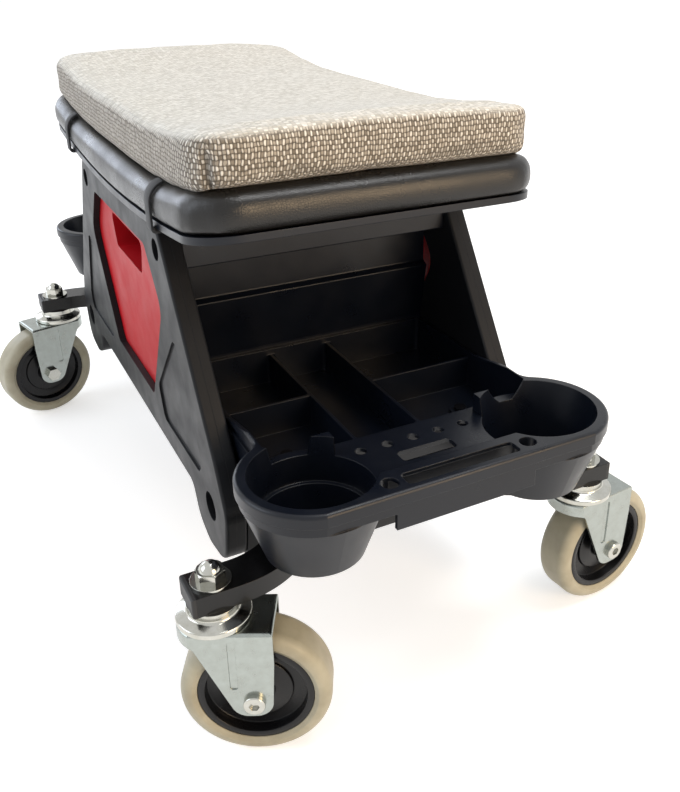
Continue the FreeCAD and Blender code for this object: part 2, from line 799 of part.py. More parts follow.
def make_bulkhead(label):
    """Moulded wall behind a tray: ledge on top, a fold across the middle, a flange under the tray."""
    body = new_body(label)
    wall = s.bulkhead_wall
    top = s.panel_top - s.seat_gap
    shelf = floor_underside - s.seat_gap
    front = [
        (s.bulkhead_beam_face, top), (s.bulkhead_beam_face, s.bulkhead_beam_base),
        (s.bulkhead_face, s.bulkhead_beam_base), (s.bulkhead_face, s.bulkhead_step_height + wall),
        (s.bulkhead_face + s.bulkhead_step, s.bulkhead_step_height),
        (s.bulkhead_foot, s.bulkhead_tuck_height), (s.bulkhead_foot, shelf),
        (s.bulkhead_foot + s.bulkhead_ledge, shelf),
    ]
    back = [
        (s.bulkhead_foot + s.bulkhead_ledge, shelf - wall), (s.bulkhead_foot - wall, shelf - wall),
        (s.bulkhead_foot - wall, s.bulkhead_tuck_height),
        (s.bulkhead_face + s.bulkhead_step - wall, s.bulkhead_step_height - wall / 2),
        (s.bulkhead_face - wall, s.bulkhead_step_height + wall),
        (s.bulkhead_face - wall, s.bulkhead_beam_base + wall),
        (s.bulkhead_beam_face - wall, s.bulkhead_beam_base + wall), (s.bulkhead_beam_face - wall, top),
    ]
    outline = [(x, z, 0 if z > s.bulkhead_beam_base + wall * 2 else wall / 4) for x, z in front + back]
    width = "(panel_reach - shell_depth * 2 - seat_gap) * 2"
    pad(body, draw(body, "XZ_Plane", 0.0, rounded(outline)), width, centred=True)
    cheek = [
        (s.bulkhead_foot - wall, shelf - wall, 0), (s.bulkhead_foot - wall, s.bulkhead_tuck_height, 0),
        (s.bulkhead_face - wall, s.bulkhead_step_height, 0),
        (s.bulkhead_face - wall, top - s.bulkhead_cheek, s.bulkhead_cheek / 4),
        (s.bulkhead_face - wall - s.bulkhead_cheek, top - s.bulkhead_cheek, s.bulkhead_cheek / 4),
        (s.bulkhead_foot - wall - s.bulkhead_cheek, shelf - wall, s.bulkhead_cheek / 4),
    ]
    reach = panel_inside - s.seat_gap
    for side in (1, -1):
        start = reach if side > 0 else wall - reach
        pad(body, draw(body, "XZ_Plane", start, rounded(cheek)), "bulkhead_wall", reverse=True)
        hole_x, hole_z = s.top_hole_place, s.top_hole_height
        boss = draw(body, "XZ_Plane", side * reach, circle(hole_x, hole_z, s.bulkhead_boss_radius))
        pad(body, boss, "panel_bolt_length", reverse=side > 0)
        bore = circle(hole_x, hole_z, s.panel_bolt_radius + s.running_gap)
        bore = draw(body, "XZ_Plane", side * reach, bore)
        pocket(body, bore, "panel_bolt_length - shell_skin", reverse=side < 0)
    return body


def tray_plan(margin=0.0):
    """Outline of a tray seen from above: straight body, two cup lobes and a flat front."""
    lobe = s.cup_radius + s.rim_width - margin
    half = s.tray_half_width - margin
    front = s.tray_front - margin
    rear = s.bulkhead_foot + s.seat_gap + margin
    kink_reach = lobe + s.kink_radius
    kink_y = half + s.kink_radius
    kink_x = s.cup_x - math.sqrt(kink_reach ** 2 - (kink_y - s.cup_y) ** 2)
    kink = Vector(kink_x, kink_y, 0)
    cup = Vector(s.cup_x, s.cup_y, 0)
    kink_start = Vector(kink_x, half, 0)
    touch = kink + (cup - kink).normalize() * s.kink_radius
    kink_middle = kink + (kink_start - kink + touch - kink).normalize() * s.kink_radius
    turn = math.asin(min((front - s.cup_x) / lobe, 1.0))
    end = cup + Vector(math.sin(turn), math.cos(turn), 0) * lobe
    outward = ((touch - cup).normalize() + (end - cup).normalize()).normalize()
    side = [
        Part.LineSegment(Vector(rear, half, 0), kink_start),
        Part.Arc(kink_start, kink_middle, touch),
        Part.Arc(touch, cup + outward * lobe, end),
    ]
    return side, end, Vector(rear, half, 0)


def closed_plan(margin=0.0):
    side, front, rear = tray_plan(margin)
    other = [mirror_across(edge) for edge in side]
    ends = [
        Part.LineSegment(front, Vector(front.x, -front.y, 0)),
        Part.LineSegment(rear, Vector(rear.x, -rear.y, 0)),
    ]
    return side + other + ends


def mirror_across(edge):
    """Mirror a sketch line or arc in the X axis."""
    start, end = edge.StartPoint, edge.EndPoint
    start = Vector(start.x, -start.y, 0)
    end = Vector(end.x, -end.y, 0)
    if isinstance(edge, Part.LineSegment):
        return Part.LineSegment(start, end)
    middle = edge.value((edge.FirstParameter + edge.LastParameter) / 2)
    return Part.Arc(start, Vector(middle.x, -middle.y, 0), end)


def add_cone(body, kind, place, lower, upper, height):
    """Add or cut an upright cone whose radii and height follow the sheet."""
    feature = body.newObject("PartDesign::" + kind, body.Name + "_cone")
    feature.Placement = Placement(place, Rotation())
    bind(feature, "Radius1", lower)
    bind(feature, "Radius2", upper)
    bind(feature, "Height", height)
    doc.recompute()
    return feature


def front_cell(low_y, high_y, side):
    """Outline of a front cell, whose outer corner follows the cup beside it."""
    inner, outer = sorted((abs(low_y), abs(high_y)))
    clear = s.cup_radius + s.tray_wall * 2
    rear = s.divider_cross + s.divider_wall / 2
    far_x = s.cup_x - math.sqrt(clear ** 2 - (outer - s.cup_y) ** 2)
    near_y = s.cup_y - math.sqrt(clear ** 2 - (s.cup_x - s.cell_front) ** 2)
    points = [
        Vector(rear, inner, 0), Vector(s.cell_front, inner, 0), Vector(s.cell_front, near_y, 0),
        Vector(s.cup_x - clear, s.cup_y, 0), Vector(far_x, outer, 0), Vector(rear, outer, 0),
    ]
    points = [Vector(point.x, point.y * side, 0) for point in points]
    return [
        Part.LineSegment(points[0], points[1]), Part.LineSegment(points[1], points[2]),
        Part.Arc(points[2], points[3], points[4]), Part.LineSegment(points[4], points[5]),
        Part.LineSegment(points[5], points[0]),
    ]


def make_tray(label):
    """Tool tray: five cells, a deck with tool holes, a raised front strip, two cups and a rolled rim."""
    body = new_body(label)
    wall = s.tray_wall
    rear = s.bulkhead_foot + s.seat_gap
    inside = s.tray_half_width - wall
    top = s.rim_height

    # Deck slab, rolled rim and the block that holds the cells
    slab = draw(body, "XY_Plane", deck_underside, closed_plan(s.lip_overhang))
    pad(body, slab, "rim_height - deck_height + tray_wall")
    pad(body, draw(body, "XY_Plane", top - s.rim_lip, closed_plan()), "rim_lip")
    dress(body, "Fillet", level_edges(body.Shape, "Z", top), "Radius", "rim_round")
    block = box_corners(rear, s.cell_front + wall, -s.tray_half_width, s.tray_half_width)
    block = draw(body, "XY_Plane", floor_underside, rounded(block))
    pad(body, block, "deck_height - tray_floor + tray_wall / 2")

    # Cups, then the skirt under the front strip
    for side in (1, -1):
        place = Vector(s.cup_x, side * s.cup_y, cup_underside)
        flare = "cup_radius + tray_wall + cup_flare"
        add_cone(body, "AdditiveCone", place, "cup_base_radius + tray_wall", flare, "deck_height - cup_floor")
    skirt_face = s.tray_front - s.lip_overhang
    skirt = box_corners(skirt_face - s.skirt_thickness, skirt_face, -s.skirt_half, s.skirt_half)
    pad(body, draw(body, "XY_Plane", s.skirt_base, rounded(skirt)), "rim_height - rim_lip - skirt_base")

    # The sunk deck and the fall of the side walls towards the seat
    deep = "rim_height - deck_height"
    floor_end = s.cup_x - s.cup_radius + s.cell_corner
    body_floor = box_corners(rear + wall, floor_end, -inside, inside, s.cell_corner)
    pocket(body, draw(body, "XY_Plane", top, rounded(body_floor)), deep)
    deck = box_corners(rear + wall, s.strip_rear, -s.strip_half, s.strip_half, s.cell_corner)
    pocket(body, draw(body, "XY_Plane", top, rounded(deck)), deep)
    swoop_end = s.cup_x - s.cup_radius - s.rim_width - s.lip_overhang
    swoop_start = swoop_end - s.rim_swoop
    above = top + s.overrun
    swoop = [
        (rear - s.overrun, s.rim_low, 0), (swoop_start, s.rim_low, s.rim_swoop),
        (swoop_end, above, 0), (rear - s.overrun, above, 0),
    ]
    pocket(body, draw(body, "XZ_Plane", 0.0, rounded(swoop)), "tray_half_width * 3", centred=True)

    # Cells and cup hollows
    cell_depth = "rim_height - tray_floor"
    half_wall = s.divider_wall / 2
    left, right = -s.divider_left, s.divider_right
    front, cross = s.cell_front, s.divider_cross - half_wall
    cells = [
        rounded(box_corners(rear + wall, cross, -inside, left - half_wall, s.cell_corner)),
        rounded(box_corners(rear + wall, front, left + half_wall, right - half_wall, s.cell_corner)),
        rounded(box_corners(rear + wall, cross, right + half_wall, inside, s.cell_corner)),
        front_cell(left - half_wall, -inside, -1),
        front_cell(right + half_wall, inside, 1),
    ]
    for cell in cells:
        pocket(body, draw(body, "XY_Plane", top, cell), cell_depth)
    left_cup = Vector(s.cup_x, -s.cup_y, s.cup_floor)
    lower_top = "cup_ledge_radius - cup_ledge_width"
    add_cone(body, "SubtractiveCone", left_cup, "cup_base_radius", lower_top, "cup_ledge - cup_floor")
    left_cup.z = s.cup_ledge
    add_cone(body, "SubtractiveCone", left_cup, "cup_ledge_radius", "cup_radius", "rim_height - cup_ledge")
    right_cup = Vector(s.cup_x, s.cup_y, s.cup_floor)
    add_cone(body, "SubtractiveCone", right_cup, "cup_base_radius", "cup_radius", "rim_height - cup_floor")

    # Hollow under the strip, then the slots and tool holes
    under = box_corners(
        s.strip_rear + wall, skirt_face - s.skirt_thickness,
        -s.long_slot_half - s.rim_width, s.long_slot_half + s.rim_width, s.cell_corner,
    )
    under = draw(body, "XY_Plane", deck_underside, rounded(under))
    pocket(body, under, "rim_height - deck_height", reverse=True)
    long_slot = box_corners(
        s.long_slot_place - s.long_slot_width / 2, s.long_slot_place + s.long_slot_width / 2,
        -s.long_slot_half, s.long_slot_half, s.cell_corner,
    )
    pocket(body, draw(body, "XY_Plane", top, rounded(long_slot)), "long_slot_depth")
    short_slot = box_corners(
        s.short_slot_place - s.short_slot_width / 2, s.short_slot_place + s.short_slot_width / 2,
        -s.short_slot_half, s.short_slot_half, s.cell_corner,
    )
    pocket(body, draw(body, "XY_Plane", top, rounded(short_slot)), "rim_height - deck_height + tray_wall * 2")
    middle = (n.driver_holes - 1) / 2
    drivers = []
    for index in range(n.driver_holes):
        drivers += circle(s.driver_hole_place, (index - middle) * s.driver_hole_pitch, s.driver_hole_radius)
    pocket(body, draw(body, "XY_Plane", top, drivers), "rim_height - deck_height + tray_wall * 2")
    corners = []
    for side in (1, -1):
        corners += circle(s.corner_hole_place, side * s.corner_hole_apart / 2, s.corner_hole_radius)
    pocket(body, draw(body, "XY_Plane", top, corners), "long_slot_depth")

    # Screw bosses on the floor
    for side in (1, -1):
        boss = circle(s.screw_boss_x, side * s.screw_boss_y, s.screw_boss_radius)
        pad(body, draw(body, "XY_Plane", s.tray_floor - wall / 2, boss), "screw_boss_rise + tray_wall / 2")
        bore = circle(s.screw_boss_x, side * s.screw_boss_y, s.wood_screw_radius + s.running_gap)
        pocket(body, draw(body, "XY_Plane", top, bore), "rim_height - tray_floor + tray_wall * 2")
    return body


def offset_path(path, distance):
    """Corners of a path of (x, y, radius) moved sideways, to the left when the distance is positive."""
    moved = []
    for index, (x, y, radius) in enumerate(path):
        here = Vector(x, y, 0)
        first = here - Vector(*path[index - 1][:2], 0) if index > 0 else None
        second = Vector(*path[index + 1][:2], 0) - here if index + 1 < len(path) else None
        first = (first or second).normalize()
        second = (second or first).normalize()
        normal_first = Vector(-first.y, first.x, 0)
        normal_second = Vector(-second.y, second.x, 0)
        point = here + (normal_first + normal_second) * (distance / (1 + normal_first * normal_second))
        bend = first.x * second.y - first.y * second.x
        change = -distance if bend > 0 else distance
        moved.append((point.x, point.y, radius + change if radius > 0 else 0))
    return moved


def arm_path(extra=0.0):
    """Plan of an arm's centre line: straight at both stems, bowed back towards the seat between them."""
    bend = math.radians(30)
    run = s.arm_bend_radius * math.tan(bend / 2)
    outer_y = s.arm_bend_start - run
    inner_y = outer_y - (stem_x - s.arm_middle) / math.tan(bend)
    half = [
        (stem_x, s.arm_reach + extra, 0), (stem_x, outer_y, s.arm_bend_radius),
        (s.arm_middle, inner_y, s.arm_bend_radius),
    ]
    return half + [(x, -y, radius) for x, y, radius in reversed(half)]


def arm_band(half_width, extra=0.0):
    path = arm_path(extra)
    return rounded(offset_path(path, half_width) + list(reversed(offset_path(path, -half_width))))


def make_arm(label):
    """Bowed steel tube of rectangular section that carries two casters."""
    body = new_body(label)
    pad(body, draw(body, "XY_Plane", arm_underside, arm_band(s.arm_width / 2)), "arm_height")
    bore = arm_band(s.arm_width / 2 - s.arm_wall, s.overrun)
    channel = draw(body, "XY_Plane", arm_underside + s.arm_height / 2, bore)
    pocket(body, channel, "arm_height - arm_wall * 2", centred=True)
    bores = []
    for side in (1, -1):
        bores += circle(stem_x, side * stem_y, s.kingpin_radius + s.running_gap)
    pocket(body, draw(body, "XY_Plane", arm_top, bores), "arm_height + overrun")
    return body


def make_cross_tube(label):
    """Square tube between two foot bosses, closed by threaded end plates."""
    body = new_body(label)
    half = s.cross_tube / 2
    length = "(panel_reach - shell_depth * 2 - seat_gap) * 2"
    x, z = s.cross_tube_place, cross_tube_axis
    outside = box_corners(x - half, x + half, z - half, z + half, s.cross_tube_wall)
    pad(body, draw(body, "XZ_Plane", 0.0, rounded(outside)), length, centred=True)
    bore = half - s.cross_tube_wall
    inside = box_corners(x - bore, x + bore, z - bore, z + bore)
    pocket(body, draw(body, "XZ_Plane", 0.0, rounded(inside)), length + " - cross_tube_end * 2", centred=True)
    thread = circle(x, z, s.panel_bolt_radius + s.running_gap)
    pocket(body, draw(body, "XZ_Plane", 0.0, thread), length + " + overrun", centred=True)
    return body


def make_tie_plate(label):
    """Flat steel plate welded under the cross tube and the arm."""
    body = new_body(label)
    low = s.cross_tube_place - s.cross_tube / 2 + s.tie_plate_margin
    high = s.arm_middle + s.arm_width / 2 - s.tie_plate_margin / 2
    outline = box_corners(low, high, -s.tie_plate_half, s.tie_plate_half, s.tie_plate_margin)
    pad(body, draw(body, "XY_Plane", arm_underside - s.tie_plate, rounded(outline)), "tie_plate")
    return body


def arm_plug(end):
    """Moulded plug pushed into the right-hand end of an arm."""
    start = Vector(end * stem_x - s.arm_width / 2, s.arm_reach, arm_underside)
    flange = Part.makeBox(s.arm_width, s.plug_flange, s.arm_height, start)
    outer = flange.BoundBox.YMax
    rim = [edge for edge in flange.Edges if near(edge.BoundBox.YMin, outer)]
    flange = flange.makeFillet(s.plug_flange / 2, rim)
    skin = s.arm_wall + s.running_gap
    stub_start = start + Vector(skin, -s.plug_stub, skin)
    stub = Part.makeBox(s.arm_width - skin * 2, s.plug_stub, s.arm_height - skin * 2, stub_start)
    return flange.fuse(stub).removeSplitter()


def make_arm_plugs(label):
    plugs = []
    for end in (1, -1):
        plug = arm_plug(end)
        plugs += [plug, plug.mirror(Vector(), Vector(0, 1, 0))]
    return group(label, plugs)


def caster_place(name):
    """Placement of a caster's own frame: floor under its stem, trail along local X."""
    end = 1 if name.startswith("front") else -1
    side = -1 if name.endswith("left") else 1
    turn = Rotation(Vector(0, 0, 1), SWIVEL_ANGLES[name])
    return Placement(Vector(end * stem_x, side * stem_y, 0), turn)


def wheel_place(name):
    """Placement of a wheel's own frame: axle along local Z."""
    local = Placement(Vector(s.caster_trail, 0, axle_height), Rotation(Vector(1, 0, 0), 90))
    return caster_place(name).multiply(local)


def make_stem(label):
    """Kingpin: riveted under the fork, with a collar under the arm and a thread through it."""
    body = new_body(label)
    pin, head = s.kingpin_radius, s.kingpin_head_radius
    foot = fork_underside - s.seat_gap - s.kingpin_head
    tip = arm_top + s.washer_thickness + s.cap_nut_height
    profile = [
        (0, foot, 0), (head, foot, s.kingpin_head / 3), (head, foot + s.kingpin_head, 0),
        (pin, foot + s.kingpin_head, 0), (pin, tip, s.kingpin_head / 3), (0, tip, 0),
    ]
    revolve(body, draw(body, "XZ_Plane", 0.0, rounded(profile)))
    return body


def make_race(label):
    """Pressed cover of the ball race, clamped between the arm and the fork."""
    body = new_body(label)
    low, bore = fork_top + s.seat_gap / 2, s.kingpin_radius + s.running_gap
    brim_share = 0.55
    profile = [
        (bore, low, 0), (s.race_radius, low, s.race_skirt / 4),
        (s.race_radius, low + s.race_skirt, s.race_skirt / 3),
        (s.race_neck_radius, low + s.race_height * brim_share, s.race_skirt / 2),
        (s.race_neck_radius, arm_underside, 0), (bore, arm_underside, 0),
    ]
    revolve(body, draw(body, "XZ_Plane", 0.0, rounded(profile)))
    return body


def fork_plan(margin, tail):
    """Plan of the fork: a round nose round the kingpin and straight cheeks towards the tail."""
    nose = s.fork_nose - margin
    half = fork_half - margin
    join = math.sqrt(nose ** 2 - half ** 2)
    return [
        Part.Arc(Vector(-join, half, 0), Vector(-nose, 0, 0), Vector(-join, -half, 0)),
        Part.LineSegment(Vector(-join, -half, 0), Vector(tail, -half, 0)),
        Part.LineSegment(Vector(tail, -half, 0), Vector(tail, half, 0)),
        Part.LineSegment(Vector(tail, half, 0), Vector(-join, half, 0)),
    ]


def make_fork(label):
    """Pressed fork: a round cap over the wheel and two cheeks that taper to the axle."""
    body = new_body(label)
    boss, axle_x = s.fork_boss_radius, s.caster_trail
    base = axle_height - boss
    height = "wheel_radius + fork_crown_gap + fork_sheet + fork_boss_radius"
    pad(body, draw(body, "XY_Plane", base, fork_plan(0, s.fork_tail)), height)
    dress(body, "Fillet", level_edges(body.Shape, "Z", fork_top), "Radius", "fork_sheet")
    inner = draw(body, "XY_Plane", base - s.overrun, fork_plan(s.fork_sheet, s.fork_tail + s.overrun))
    pocket(body, inner, "wheel_radius + fork_crown_gap + fork_boss_radius + overrun", reverse=True)
    past = s.overrun + s.fork_sheet
    skirt_base = fork_top - s.fork_skirt
    side_view = [
        (-s.fork_nose - past, fork_top + past, 0), (-s.fork_nose - past, skirt_base, 0),
        (-s.fork_nose / 2, skirt_base, s.fork_shoulder),
        (axle_x - boss, base, boss), (axle_x + boss, base, boss),
        (s.fork_tail, fork_top - s.fork_tail_drop, boss * 2), (s.fork_tail + past, fork_top + past, 0),
    ]
    frame = box_corners(-s.fork_tail * 2, s.fork_tail * 2, base - past, fork_top + past * 2)
    around = draw(body, "XZ_Plane", 0.0, rounded(frame), rounded(side_view))
    pocket(body, around, "fork_inside * 2", centred=True)
    pin = circle(0, 0, s.kingpin_radius + s.running_gap)
    pocket(body, draw(body, "XY_Plane", fork_top + s.overrun, pin), "fork_sheet + overrun * 2")
    axle = circle(axle_x, axle_height, s.axle_radius + s.running_gap)
    pocket(body, draw(body, "XZ_Plane", 0.0, axle), "fork_inside * 2", centred=True)
    groove_x = axle_x / 2
    for side in (1, -1):
        groove = box_corners(
            groove_x - s.fork_groove_width / 2, groove_x + s.fork_groove_width / 2,
            axle_height + boss, fork_top - s.fork_shoulder, s.fork_groove_width / 3,
        )
        cut = draw(body, "XZ_Plane", side * (fork_half + s.overrun), rounded(groove))
        pocket(body, cut, "fork_groove_depth + overrun", reverse=side < 0)
    return body


def make_hub(label):
    """Moulded wheel hub: boss, stepped web and rim, stiffened by radial ribs."""
    body = new_body(label)
    bore = s.bush_radius + s.running_gap
    boss_half = s.fork_inside / 2 - s.seat_gap
    rim_inside = s.hub_radius - s.hub_rim_wall
    half = [
        (bore, boss_half, 0), (s.hub_boss_radius, boss_half, 0), (s.hub_boss_radius, s.hub_step_web / 2, 0),
        (s.hub_step_radius, s.hub_step_web / 2, 0), (s.hub_step_radius, s.hub_web / 2, 0),
        (rim_inside, s.hub_web / 2, 0), (rim_inside, s.hub_width / 2, 0), (s.hub_radius, s.hub_width / 2, 0),
    ]
    profile = half + [(r, -z, radius) for r, z, radius in reversed(half)]
    revolve(body, draw(body, "XZ_Plane", 0.0, rounded(profile)))
    rib_inner = (s.hub_boss_radius + bore) / 2
    rib_outer = rim_inside + s.hub_rim_wall / 2
    rib = box_corners(rib_inner, rib_outer, -s.hub_rib / 2, s.hub_rib / 2)
    ribs = pad(body, draw(body, "XY_Plane", 0.0, rounded(rib)), "hub_width - hub_step_web", centred=True)
    turn = body.newObject("PartDesign::PolarPattern", body.Name + "_ribs")
    turn.Originals = [ribs]
    turn.Axis = (next(item for item in body.Origin.OriginFeatures if item.Role == "Z_Axis"), [""])
    turn.Angle = 360
    turn.Occurrences = n.hub_ribs
    body.Tip = turn
    doc.recompute()
    return body


def make_tyre(label):
    """Soft tread with rounded shoulders on the hub's rim."""
    body = new_body(label)
    side_share = 0.25
    side = s.hub_radius + (s.wheel_radius - s.hub_radius) * side_share
    half = [
        (s.hub_radius, s.hub_width / 2, 0), (side, s.tread_width / 2, s.tyre_side_turn),
        (s.wheel_radius, s.tread_width / 2, s.tyre_shoulder),
    ]
    profile = half + [(r, -z, radius) for r, z, radius in reversed(half)]
    revolve(body, draw(body, "XZ_Plane", 0.0, rounded(profile)))
    return body


def make_bush(label):
    """Steel spacer tube that the hub turns on."""
    body = new_body(label)
    half = s.fork_inside / 2 - s.running_gap
    wall = box_corners(s.axle_radius + s.running_gap, s.bush_radius, -half, half)
    revolve(body, draw(body, "XZ_Plane", 0.0, rounded(wall)))
    return body


def prism(flats, height, start):
    """Upright hexagonal prism on the Z axis."""
    wire = Part.Wire([edge.toShape() for edge in hexagon(0, 0, flats)])
    solid = Part.Face(wire).extrude(Vector(0, 0, height))
    solid.translate(Vector(0, 0, start))
    return solid


def make_axle(label):
    """Axle bolt with a round socket head, and its nut."""
    face = fork_half + s.running_gap
    grip = face * 2 + s.axle_nut_height
    shank = Part.makeCylinder(s.axle_radius, grip, Vector(0, 0, face), Vector(0, 0, -1))
    head = Part.makeCylinder(s.axle_head_radius, s.axle_head, Vector(0, 0, face))
    crown = [edge for edge in head.Edges if near(edge.BoundBox.ZMin, face + s.axle_head)]
    head = head.makeFillet(s.axle_head / 3, crown)
    socket_floor = face + s.axle_head - s.axle_socket_depth
    socket = prism(s.axle_socket_radius * 2, s.axle_socket_depth + s.overrun, socket_floor)
    bolt = shank.fuse(head).cut(socket).removeSplitter()
    nut = prism(s.axle_nut_flats, s.axle_nut_height, -face - s.axle_nut_height)
    bore = Part.makeCylinder(s.axle_radius + s.running_gap, long_cut, Vector(0, 0, -s.pad_half_length))
    nut = nut.cut(bore)
    return group(label, [bolt, nut])


def at_stems(solid):
    """Copies of a solid at the four caster stems."""
    copies = []
    for name in SWIVEL_ANGLES:
        copy = solid.copy()
        copy.translate(caster_place(name).Base)
        copies.append(copy)
    return copies


def make_cap_nuts(label):
    """Domed nuts: a hexagon with its corners turned off, a ball on top and a blind bore."""
    base = arm_top + s.washer_thickness
    flat_top = base + s.cap_nut_height
    corner = s.cap_nut_flats / math.sqrt(3)
    block = prism(s.cap_nut_flats, s.cap_nut_height, base)
    cone_base = Vector(0, 0, base - s.cap_nut_chamfer)
    cone_height = s.cap_nut_height + s.cap_nut_chamfer
    turned = Part.makeCone(corner + s.cap_nut_height, corner - s.cap_nut_chamfer, cone_height, cone_base)
    dome_middle = flat_top + s.cap_dome_rise - s.cap_dome_radius
    dome = Part.makeSphere(s.cap_dome_radius, Vector(0, 0, dome_middle))
    half_space = Part.makeCylinder(s.cap_nut_flats, s.cap_nut_height, Vector(0, 0, flat_top))
    nut = block.common(turned).fuse(dome.common(half_space)).removeSplitter()
    bore_radius, bore_depth = s.kingpin_radius + s.running_gap, s.cap_nut_height + s.running_gap
    bore = Part.makeCylinder(bore_radius, bore_depth, Vector(0, 0, base))
    return group(label, at_stems(nut.cut(bore)))


def make_washers(label):
    disc = Part.makeCylinder(s.washer_radius, s.washer_thickness, Vector(0, 0, arm_top))
    bore = Part.makeCylinder(s.kingpin_radius + s.running_gap, long_cut)
    return group(label, at_stems(disc.cut(bore)))


def screw(radius, length, head_radius, head, base, direction):
    """Screw with its head's bearing face at the base point, pointing along the direction."""
    shank = Part.makeCylinder(radius, length, base, direction)
    cap = Part.makeCylinder(head_radius, head, base, direction * -1)
    return shank.fuse(cap).removeSplitter()


def corner_points(x, y, z):
    """The four mirror images of a point about the middle of the seat."""
    return [Vector(end * x, side * y, z) for end in (1, -1) for side in (1, -1)]


def make_panel_bolts(label):
    bolts = []
    size = (s.panel_bolt_radius, s.panel_bolt_length, s.panel_bolt_head_radius, s.panel_bolt_head)
    for x, z in ((s.top_hole_place, s.top_hole_height), (s.cross_tube_place, cross_tube_axis)):
        for place in corner_points(x, seam, z):
            inward = Vector(0, -1 if place.y > 0 else 1, 0)
            bolts.append(screw(*size, place, inward))
    return group(label, bolts)


def make_tray_screws(label):
    down = Vector(0, 0, -1)
    places = corner_points(s.screw_boss_x, s.screw_boss_y, s.tray_floor + s.screw_boss_rise)
    size = (s.wood_screw_radius, s.tray_screw_length, s.wood_screw_head_radius, s.wood_screw_head)
    return group(label, [screw(*size, place, down) for place in places])


def make_seat_screws(label):
    rise = Vector(0, 0, 1)
    lug_base = saddle(s.lug_place - s.lug_length / 2) - s.seat_gap - s.lug_thickness
    places = corner_points(s.lug_place, panel_inside - s.lug_reach / 2, lug_base)
    size = (s.wood_screw_radius, s.seat_screw_length, s.wood_screw_head_radius, s.wood_screw_head)
    return group(label, [screw(*size, place, rise) for place in places])


pieces = []


def keep(piece, placement=IDENTITY):
    """Put a finished piece in its place and list it for export."""
    piece.Placement = placement
    pieces.append(piece)


for side, placement in SIDES.items():
    keep(make_outer_shell(f"side_panel_outer_{side}"), placement)
    keep(make_inner_shell(f"side_panel_inner_{side}"), placement)
    keep(make_grip_insert(f"grip_insert_{side}"), placement)
for end, placement in ENDS.items():
    keep(make_bulkhead(f"bulkhead_{end}"), placement)
    keep(make_tray(f"tray_{end}"), placement)
    keep(make_arm(f"arm_{end}"), placement)
    keep(make_cross_tube(f"cross_tube_{end}"), placement)
    keep(make_tie_plate(f"tie_plate_{end}"), placement)
    keep(make_strap(f"cushion_strap_{end}"), placement)
keep(make_seat_board("seat_board"))
keep(make_seat_pad("seat_pad"))
keep(make_cushion("cushion"))
keep(make_arm_plugs("arm_plugs"))
keep(make_cap_nuts("cap_nuts"))
keep(make_washers("stem_washers"))
keep(make_panel_bolts("panel_bolts"))
keep(make_tray_screws("tray_screws"))
keep(make_seat_screws("seat_screws"))
for name in SWIVEL_ANGLES:
    keep(make_stem(f"caster_stem_{name}"), caster_place(name))
    keep(make_race(f"caster_race_{name}"), caster_place(name))
    keep(make_fork(f"caster_fork_{name}"), caster_place(name))
    keep(make_axle(f"wheel_axle_{name}"), wheel_place(name))
    keep(make_bush(f"wheel_bush_{name}"), wheel_place(name))
    keep(make_hub(f"wheel_hub_{name}"), wheel_place(name))
    keep(make_tyre(f"wheel_tyre_{name}"), wheel_place(name))

doc.recompute()
failed = [item.Name for item in doc.Objects if "Invalid" in item.State or "Error" in item.State]
bad_shapes = [item.Label for item in pieces if item.Shape.isNull() or not item.Shape.isValid()]
if failed or bad_shapes:
    raise RuntimeError(f"failed features: {failed}; bad shapes: {bad_shapes}")

os.makedirs("parts", exist_ok=True)
for item in pieces:
    item.Shape.exportStep(f"parts/{item.Label}.step")
print(len(pieces), "pieces written")
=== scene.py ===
import json
import math

import bpy
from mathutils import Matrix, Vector


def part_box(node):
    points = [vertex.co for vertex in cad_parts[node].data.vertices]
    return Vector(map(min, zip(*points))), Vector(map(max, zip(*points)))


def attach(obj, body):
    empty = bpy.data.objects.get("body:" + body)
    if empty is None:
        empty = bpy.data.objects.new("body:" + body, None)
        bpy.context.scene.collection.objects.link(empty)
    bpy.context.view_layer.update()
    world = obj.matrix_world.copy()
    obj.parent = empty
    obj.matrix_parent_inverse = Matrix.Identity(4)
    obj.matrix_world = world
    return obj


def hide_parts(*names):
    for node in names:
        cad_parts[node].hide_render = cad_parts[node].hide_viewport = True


# Dressed creeper seat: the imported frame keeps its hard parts, and the cushion, the seat pad and the
# straps are made here as soft goods. Lengths are metres, +X runs towards the front tray, +Z up.

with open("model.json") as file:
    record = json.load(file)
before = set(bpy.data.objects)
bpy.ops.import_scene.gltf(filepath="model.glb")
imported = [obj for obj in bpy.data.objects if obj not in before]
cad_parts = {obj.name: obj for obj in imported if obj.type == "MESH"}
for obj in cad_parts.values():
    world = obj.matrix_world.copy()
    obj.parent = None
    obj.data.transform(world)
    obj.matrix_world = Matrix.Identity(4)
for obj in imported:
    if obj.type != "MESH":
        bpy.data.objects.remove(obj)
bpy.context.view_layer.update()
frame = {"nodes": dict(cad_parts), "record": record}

MM = 0.001

# Sizes of the soft goods
CUSHION_VOXEL = 4.0 * MM
CUSHION_SWELL = 1.6 * MM
CUSHION_FRAMES = 20
CUSHION_PRESSURE = 4.0
CUSHION_DROOP = 3.0 * MM
DROOP_REACH = 13 * MM
EDGE_COLUMN = 4 * MM
CREASE_DEPTH = 2.4 * MM
CREASE_WIDTH = 4.0 * MM
CREASE_BELOW_TOP = 11 * MM
CREASE_FADE = 6 * MM
PAD_VOXEL = 4.0 * MM
DENT_DEPTH = 4.5 * MM
DENT_WIDTH = 8 * MM
DENT_BACK = 4 * MM
STRAP_ROUND = 0.35 * MM
STRAP_SMOOTH_ANGLE = math.radians(40)
MERGE_REACH = 0.02 * MM
ROUNDED_EDGE_ANGLE = math.radians(50)

